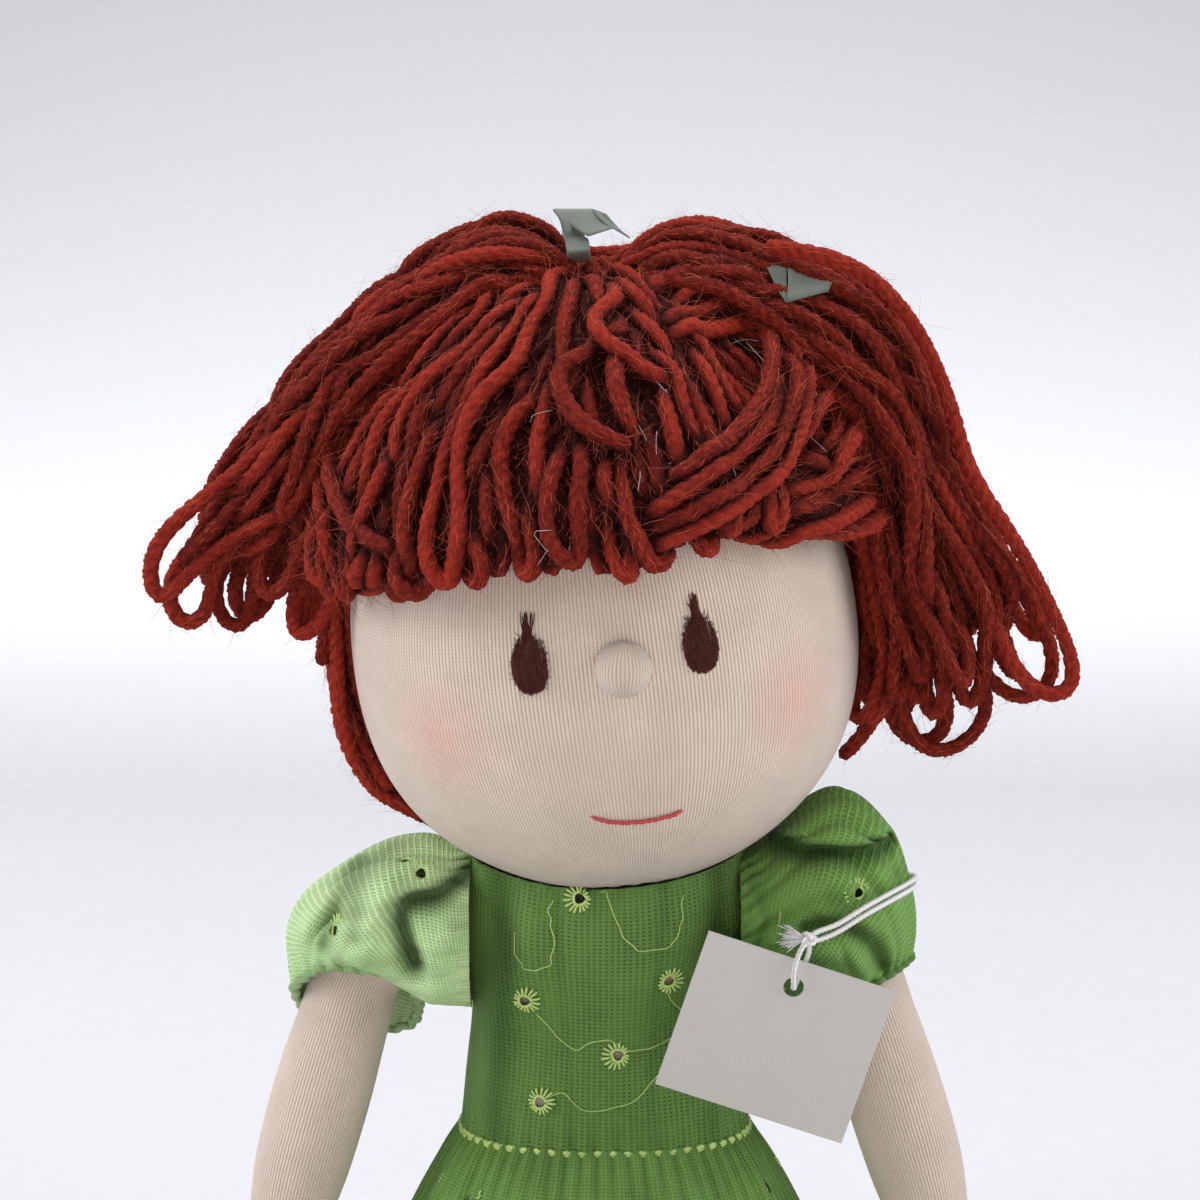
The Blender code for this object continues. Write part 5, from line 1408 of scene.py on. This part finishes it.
# Arm: shares of its reach out, drop and swing forwards, then of its half width and half depth
ARM_ROWS = ((0.0, 0.0, 0.0, 0.98, 0.98), (0.20, 0.055, 0.0, 0.97, 0.97), (0.40, 0.145, 0.02, 0.94, 0.94),
            (0.51, 0.27, 0.14, 0.97, 0.97), (0.64, 0.44, 0.36, 1.04, 1.04), (0.78, 0.63, 0.60, 1.0, 1.0),
            (0.89, 0.80, 0.80, 0.88, 0.80), (0.96, 0.92, 0.92, 0.98, 0.72), (1.0, 1.0, 1.0, 0.72, 0.50))
ARM_ACROSS, ARM_DROP, ARM_SWING, ARM_RADIUS = 0.04269, 0.096, 0.010, 0.0112
ARM_REACH = {"left": 0.0400, "right": 0.0376}


def make_arm(word, side):
    """A stuffed arm of knit with a mitten hand."""
    start = np.array((side * ARM_ACROSS, 0.0, SHOULDER_HEIGHT))
    rows = [(*(start + (side * out * ARM_REACH[word], -front * ARM_SWING, -down * ARM_DROP)), wide * ARM_RADIUS,
             deep * ARM_RADIUS) for out, down, front, wide, deep in ARM_ROWS]
    node = "arm_" + word
    arm = sewn(node + "_knit", [stuffed_tube(rows, (0, 1, 0), 48, 0.012)], "knit", node, (node,))


# Leg: share of its length, and of its radius there
LEG_ROWS = ((0.0, 1.0), (0.14, 1.0), (0.36, 0.93), (0.55, 0.86), (0.78, 0.78), (0.92, 0.72), (1.0, 0.70))
LEG_LENGTH, LEG_RADIUS, HIP_FORWARD, HIP_HEIGHT = 0.134, 0.0165, 0.023, 0.017


def make_leg(word, side):
    """A stuffed leg of knit."""
    rows = [(side * HIP_ACROSS, -HIP_FORWARD - LEG_LENGTH * t, HIP_HEIGHT, LEG_RADIUS * w, LEG_RADIUS * w)
            for t, w in LEG_ROWS]
    node = "leg_" + word
    leg = sewn(node + "_knit", [stuffed_tube(rows, (1, 0, 0), 56, 0.008)], "knit", node, (node,))


def solid_copy(node):
    """A bmesh of a CAD solid, with its doubles merged."""
    bm = bmesh.new()
    bm.from_mesh(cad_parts[node].data)
    bmesh.ops.remove_doubles(bm, verts=bm.verts, dist=SOLID_WELD)
    return bm


# The welt round a shoe's sole: its middle, how far it stands forward, and its half width and half height
SHOE_AT, WELT_FORWARD, WELT_HALF_WIDTH, WELT_HALF_HEIGHT = (-0.157, 0.0245), -0.0040, 0.0157, 0.0241


def make_shoe(word, side):
    """A soft felt shoe with its welt seam."""
    node, leg = "shoe_" + word, "leg_" + word
    bm = solid_copy(node)
    bmesh.ops.recalc_face_normals(bm, faces=bm.faces)
    shoe = piece(node + "_felt", mesh_from(bm, node + "_felt"), "felt", leg, (node,))
    bevel = shoe.modifiers.new("Soft edges", "BEVEL")
    bevel.width, bevel.segments, bevel.limit_method = 0.0008, 3, "ANGLE"
    angle = np.linspace(0, TURN, 90)
    welt = np.stack((WELT_HALF_WIDTH * np.sin(angle), 0 * angle + WELT_FORWARD, WELT_HALF_HEIGHT * np.cos(angle)),
                    axis=1) + (side * HIP_ACROSS, *SHOE_AT)
    sewn(node + "_welt", [cord_sheet(welt, 0.0007, 8, lobes=2, groove=0.3, pitch=0.003)], "felt", leg)


def make_trunk():
    """The trunk's knit under the dress, and the neck's."""
    for node, wraps, fill in (("torso", 2.6, 0.85), ("neck", 1.0, 0.8)):
        bm = solid_copy(node)
        uv = bm.loops.layers.uv.get("UVMap") or bm.loops.layers.uv.new("UVMap")
        for face in bm.faces:
            for loop in face.loops:
                loop[uv].uv = (math.atan2(loop.vert.co.x, -loop.vert.co.y) / TURN * wraps, loop.vert.co.z * 6)
        trunk = piece(node + "_knit", mesh_from(bm, node + "_knit"), "knit", node, (node,))


# Ribbons

# Each ribbon: how much satin shows, then its flats' corners and how far each bows, in millimetres
RIBBONS = {
    "right": (0.00026, (
        (((-11.7, -12, 278.7), (-3.0, -12, 278.7), (1.7, -19, 274.9), (-3.8, -19, 273.1)), 0.9),
        (((-8.6, -11, 277.7), (-11.6, -18, 278.8), (-9.4, -19, 274.0), (-4.5, -11, 272.1)), 0.5),
        (((-9.7, -14, 273.5), (-4.1, -14, 272.3), (-3.4, -20, 269.9), (-8.5, -20, 269.2)), -0.7),
        (((-3.0, -12, 278.7), (0.2, -12, 277.6), (5.6, -12, 272.2), (1.7, -19, 274.9)), 0.4),
        (((-8.5, -20, 269.2), (-3.4, -20, 269.9), (-3.0, -10, 266.7), (-7.9, -10, 266.7)), 0.3))),
    "left": (0.00024, (
        (((40.9, -12, 266.8), (35.7, -12, 266.8), (37.9, -18.5, 262.1), (40.3, -21.5, 258.5)), 0.5),
        (((51.1, -12, 262.3), (40.9, -12, 266.8), (40.3, -21.5, 258.5), (49.9, -18.5, 260.9)), 0.9),
        (((35.7, -12, 266.8), (40.9, -12, 266.8), (41.6, -4, 265.6), (37.0, -4, 265.6)), 0.4),
        (((40.9, -12, 266.8), (51.1, -12, 262.3), (51.6, -4, 261.1), (42.0, -4, 265.6)), 0.4))),
}
RIBBON_THICKNESS = 0.0003


def ribbon_fold(corners, bow):
    """One flat of a folded ribbon between four corners, bowed out in the middle."""
    u, v = grid(8, 8)
    u, v = u[..., None], v[..., None]
    a, b, c, d = np.array(corners, float) * MM
    places = a * (1 - u) * (1 - v) + b * u * (1 - v) + c * u * v + d * (1 - u) * v
    out = unit(np.cross(b - a, d - a))
    return places + out * bow * MM * np.sin(math.pi * v) * np.ones_like(u), together(u[..., 0], v[..., 0])


def make_ribbon(word, folds):
    """A satin ribbon end folded back on itself in the hair."""
    node = "ribbon_" + word
    ribbon = sewn(node + "_satin", [ribbon_fold(*fold) for fold in folds], "satin", "head", (node,),
                  closed=False)
    thickened(ribbon, RIBBON_THICKNESS)


# Tag and string, routes as the CAD has them

KNOT = np.array((0.0461, -0.0330, 0.1152))
KNOT_RADIUS, STRING_RADIUS = 0.0019, 0.0007
STRING_PLIES = {"lobes": 3, "groove": 0.24, "pitch": 0.0032}
KNOT_TURN, FRAYED_FIBRES = 0.00085, 130
STRING_ROUTE = ((0.0530, -0.0308, 0.1182), (0.0590, -0.0275, 0.1210), (0.0650, -0.0222, 0.1228),
                (0.0697, -0.0150, 0.1232), (0.0725, -0.0060, 0.1222), (0.0733, 0.0030, 0.1205),
                (0.0722, 0.0110, 0.1188))
# Each strand: the way it leaves the knot, and how far it lies from the route
STRANDS = (("upper", (0.80, 0.25, 0.62), (0.0, 0.0, 0.0)), ("lower", (0.90, 0.30, -0.15), (0.0, 0.0004, -0.0020)))
LOOP_ROUTE = ((0.0461, -0.0332, 0.1146), (0.0446, -0.0344, 0.1136), (0.0434, -0.0352, 0.1110),
              (0.0427, -0.0356, 0.1080), (0.0427, -0.0352, 0.1052), (0.0428, -0.0340, 0.1041),
              (0.0431, -0.0326, 0.1040), (0.0440, -0.0314, 0.1056), (0.0452, -0.0310, 0.1085),
              (0.0462, -0.0313, 0.1112), (0.0464, -0.0322, 0.1140))


def make_tag():
    """The blank card's finish, the loop through its hole, the knot with its frayed ends and both strands."""
    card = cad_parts["tag_card"]
    card.data.materials.clear()
    card.data.materials.append(finish("card"))
    loop_sheet = cord_sheet(smooth_route(np.array(LOOP_ROUTE), 0.0004), STRING_RADIUS, 12, **STRING_PLIES)
    loop = sewn("tag_loop_string", [loop_sheet], "cotton", "tag", ("tag_loop",))
    t = np.linspace(0, TURN, 150)
    wound = KNOT + KNOT_TURN * np.stack(((2 + np.cos(3 * t)) * np.cos(2 * t) * 0.55, np.sin(3 * t) * 1.1,
                                         (2 + np.cos(3 * t)) * np.sin(2 * t) * 0.55), axis=1)
    sheets = [cord_sheet(wound, STRING_RADIUS * 0.95, 12, **STRING_PLIES)]
    rng = np.random.default_rng(31)
    for _ in range(FRAYED_FIBRES):
        reach = rng.uniform(0.0036, 0.0066)
        tilt = rng.uniform(-0.30, 0.62)
        way = unit(np.array((-1.0, rng.uniform(-0.35, 0.05), tilt)))
        curl = rng.normal(0, 0.10, 3) * reach
        points = np.array([KNOT, KNOT + way * reach * 0.5 + curl * 0.3, KNOT + way * reach + curl])
        sheets.append(cord_sheet(smooth_route(points, 0.0008), 0.00011, 4))
    knot = sewn("tag_knot_string", sheets, "cotton", "torso", ("tag_knot",))
    for word, toward, step in STRANDS:
        toward = np.array(toward) / np.linalg.norm(toward)
        start = KNOT + toward * (KNOT_RADIUS + 0.0006)
        near = KNOT + toward * (KNOT_RADIUS * 0.45)
        route = np.vstack([near, start] + [np.array(p) + step for p in STRING_ROUTE])[::-1]
        route = smooth_route(route, 0.0006)
        node = "tag_string_" + word
        string = sewn(node + "_cotton", [cord_sheet(route, STRING_RADIUS, 12, **STRING_PLIES)], "cotton", None,
                      (node,))
        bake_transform(string)


# Stage

CAMERA_AT, CAMERA_PITCH_DEG, CAMERA_LENS, CAMERA_SENSOR = (-0.001166, -0.763904, 0.322169), 80.0, 100.0, 36.0


def make_camera():
    """The photograph's camera."""
    lens = bpy.data.cameras.new("camera")
    lens.lens, lens.sensor_width = CAMERA_LENS, CAMERA_SENSOR
    camera = bpy.data.objects.new("camera", lens)
    camera.location = CAMERA_AT
    camera.rotation_euler = (math.radians(CAMERA_PITCH_DEG), 0.0, 0.0)
    bpy.context.scene.collection.objects.link(camera)
    bpy.context.scene.camera = camera


DOLL_MIDDLE, BACKDROP_MIDDLE = (0.0, 0.0, 0.16), (0.0, 3.4, 0.6)
WHITE, WARM = (1.0, 1.0, 1.0), (1.0, 0.88, 0.74)
# Lights: name, place, what each points at, size, power and colour
LIGHTS = (
    ("left", (-1.2, -0.22, 0.75), DOLL_MIDDLE, 0.9, 10.4, WHITE),
    ("right", (1.2, -0.25, 0.75), DOLL_MIDDLE, 0.9, 9.8, WHITE),
    ("front", (0.0, -1.5, 0.10), DOLL_MIDDLE, 0.8, 9.0, WARM),
    ("top", (-0.1, 0.3, 1.4), DOLL_MIDDLE, 1.2, 17.0, WHITE),
    ("backdrop", (0.0, 1.4, 1.6), BACKDROP_MIDDLE, 2.5, 47.0, WHITE))
SKY_COLOUR, SKY_STRENGTH = (0.96, 0.975, 1.0, 1.0), 0.22
# The floor: width, where its front edge is, length, the share of it that lies flat, and how steeply it sweeps up
FLOOR_WIDTH, FLOOR_FRONT, FLOOR_LENGTH, FLOOR_FLAT, FLOOR_SWEEP = 14, -2.5, 8.5, 0.45, 3.2 / 0.30


def make_stage():
    """A pale floor that sweeps up into a backdrop, and soft studio light."""
    bm = bmesh.new()
    bmesh.ops.create_grid(bm, x_segments=1, y_segments=40, size=0.5, calc_uvs=False)
    bm.loops.layers.uv.new("UVMap")
    for vert in bm.verts:
        along = vert.co.y + 0.5
        vert.co = (vert.co.x * FLOOR_WIDTH, FLOOR_FRONT + FLOOR_LENGTH * along,
                   FLOOR_SWEEP * max(0.0, along - FLOOR_FLAT) ** 2)
    floor = piece("floor", mesh_from(bm, "floor"), "floor")
    world = bpy.data.worlds.new("studio")
    bpy.context.scene.world = world
    world.use_nodes = True
    sky = world.node_tree.nodes["Background"]
    sky.inputs["Color"].default_value = SKY_COLOUR
    sky.inputs["Strength"].default_value = SKY_STRENGTH
    for name, place, target, size, power, colour in LIGHTS:
        light = bpy.data.lights.new(name, "AREA")
        light.size, light.energy, light.color = size, power, colour
        lamp = bpy.data.objects.new(name, light)
        lamp.location = place
        lamp.rotation_euler = (Vector(target) - Vector(place)).to_track_quat("-Z", "Y").to_euler()
        bpy.context.scene.collection.objects.link(lamp)
    bpy.context.scene.view_settings.view_transform = "Standard"


# Operators

class DOLL_OT_tag(bpy.types.Operator):
    """Makes the tag's string, loop and knot, and finishes its card"""
    bl_idname = "doll.tag"
    bl_label = "Tag and string"

    def execute(self, context):
        make_tag()
        return {"FINISHED"}


class DOLL_OT_head(bpy.types.Operator):
    """Makes the knit head and its nose"""
    bl_idname = "doll.head"
    bl_label = "Head"

    def execute(self, context):
        make_head()
        make_nose()
        return {"FINISHED"}


class DOLL_OT_face(bpy.types.Operator):
    """Makes the embroidered eyes and mouth"""
    bl_idname = "doll.face"
    bl_label = "Face"

    def execute(self, context):
        make_eye("eye_right", -EYE_BEARING, 41)
        make_eye("eye_left", EYE_BEARING, 42)
        make_mouth()
        return {"FINISHED"}


class DOLL_OT_hair(bpy.types.Operator):
    """Makes the yarn hair: fringe, back and both bunches"""
    bl_idname = "doll.hair"
    bl_label = "Hair"

    def execute(self, context):
        make_fringe()
        make_back_hair()
        make_bunch("hair_bunch_left", OUTER_LEFT, INNER_LEFT, LOOPS_LEFT, 51)
        make_bunch("hair_bunch_right", OUTER_RIGHT, INNER_RIGHT, LOOPS_RIGHT, 52)
        make_lint()
        return {"FINISHED"}


class DOLL_OT_ribbons(bpy.types.Operator):
    """Makes the satin ribbons in the hair"""
    bl_idname = "doll.ribbons"
    bl_label = "Ribbons"

    def execute(self, context):
        for word, (area, folds) in RIBBONS.items():
            make_ribbon(word, folds)
        return {"FINISHED"}


class DOLL_OT_body(bpy.types.Operator):
    """Makes the knit trunk, neck, arms and legs, and the shoes"""
    bl_idname = "doll.body"
    bl_label = "Body and limbs"

    def execute(self, context):
        make_trunk()
        for word, side in (("left", 1), ("right", -1)):
            make_arm(word, side)
            make_leg(word, side)
            make_shoe(word, side)
        return {"FINISHED"}


class DOLL_OT_dress(bpy.types.Operator):
    """Makes the voile dress: bodice, skirt and puff sleeves"""
    bl_idname = "doll.dress"
    bl_label = "Dress"

    def execute(self, context):
        make_bodice()
        make_skirt()
        for word in SLEEVES:
            make_sleeve(word)
        return {"FINISHED"}


class DOLL_OT_filling(bpy.types.Operator):
    """Finishes the fillings inside the knit"""
    bl_idname = "doll.filling"
    bl_label = "Fillings"

    def execute(self, context):
        for name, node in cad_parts.items():
            if name.endswith("_stuffing"):
                node.data.materials.clear()
                node.data.materials.append(finish("filling"))
        return {"FINISHED"}


class DOLL_OT_stage(bpy.types.Operator):
    """Makes the camera, the pale floor and the soft lights"""
    bl_idname = "doll.stage"
    bl_label = "Camera and stage"

    def execute(self, context):
        make_camera()
        make_stage()
        return {"FINISHED"}


class DOLL_PT_look(bpy.types.Panel):
    """Lists the doll's colours, sizes and steps"""
    bl_idname = "DOLL_PT_look"
    bl_label = "Rag Doll"
    bl_space_type = "VIEW_3D"
    bl_region_type = "UI"
    bl_category = "Rag Doll"

    def draw(self, context):
        for group in (context.scene.doll_colours, context.scene.doll_sizes):
            for key in group.__annotations__:
                self.layout.prop(group, key)
        for operator in OPERATORS:
            self.layout.operator(operator.bl_idname)


OPERATORS = (DOLL_OT_stage, DOLL_OT_tag, DOLL_OT_head, DOLL_OT_face, DOLL_OT_body, DOLL_OT_dress, DOLL_OT_ribbons,
             DOLL_OT_hair, DOLL_OT_filling)
CLASSES = (DollColours, DollSizes, *OPERATORS, DOLL_PT_look)


def register():
    for cls in CLASSES:
        bpy.utils.register_class(cls)
    bpy.types.Scene.doll_colours = bpy.props.PointerProperty(type=DollColours)
    bpy.types.Scene.doll_sizes = bpy.props.PointerProperty(type=DollSizes)


def unregister():
    del bpy.types.Scene.doll_sizes
    del bpy.types.Scene.doll_colours
    for cls in reversed(CLASSES):
        bpy.utils.unregister_class(cls)


def main():
    register()
    for operator in OPERATORS:
        group, name = operator.bl_idname.split(".")
        getattr(getattr(bpy.ops, group), name)()


if __name__ == "__main__":
    main()
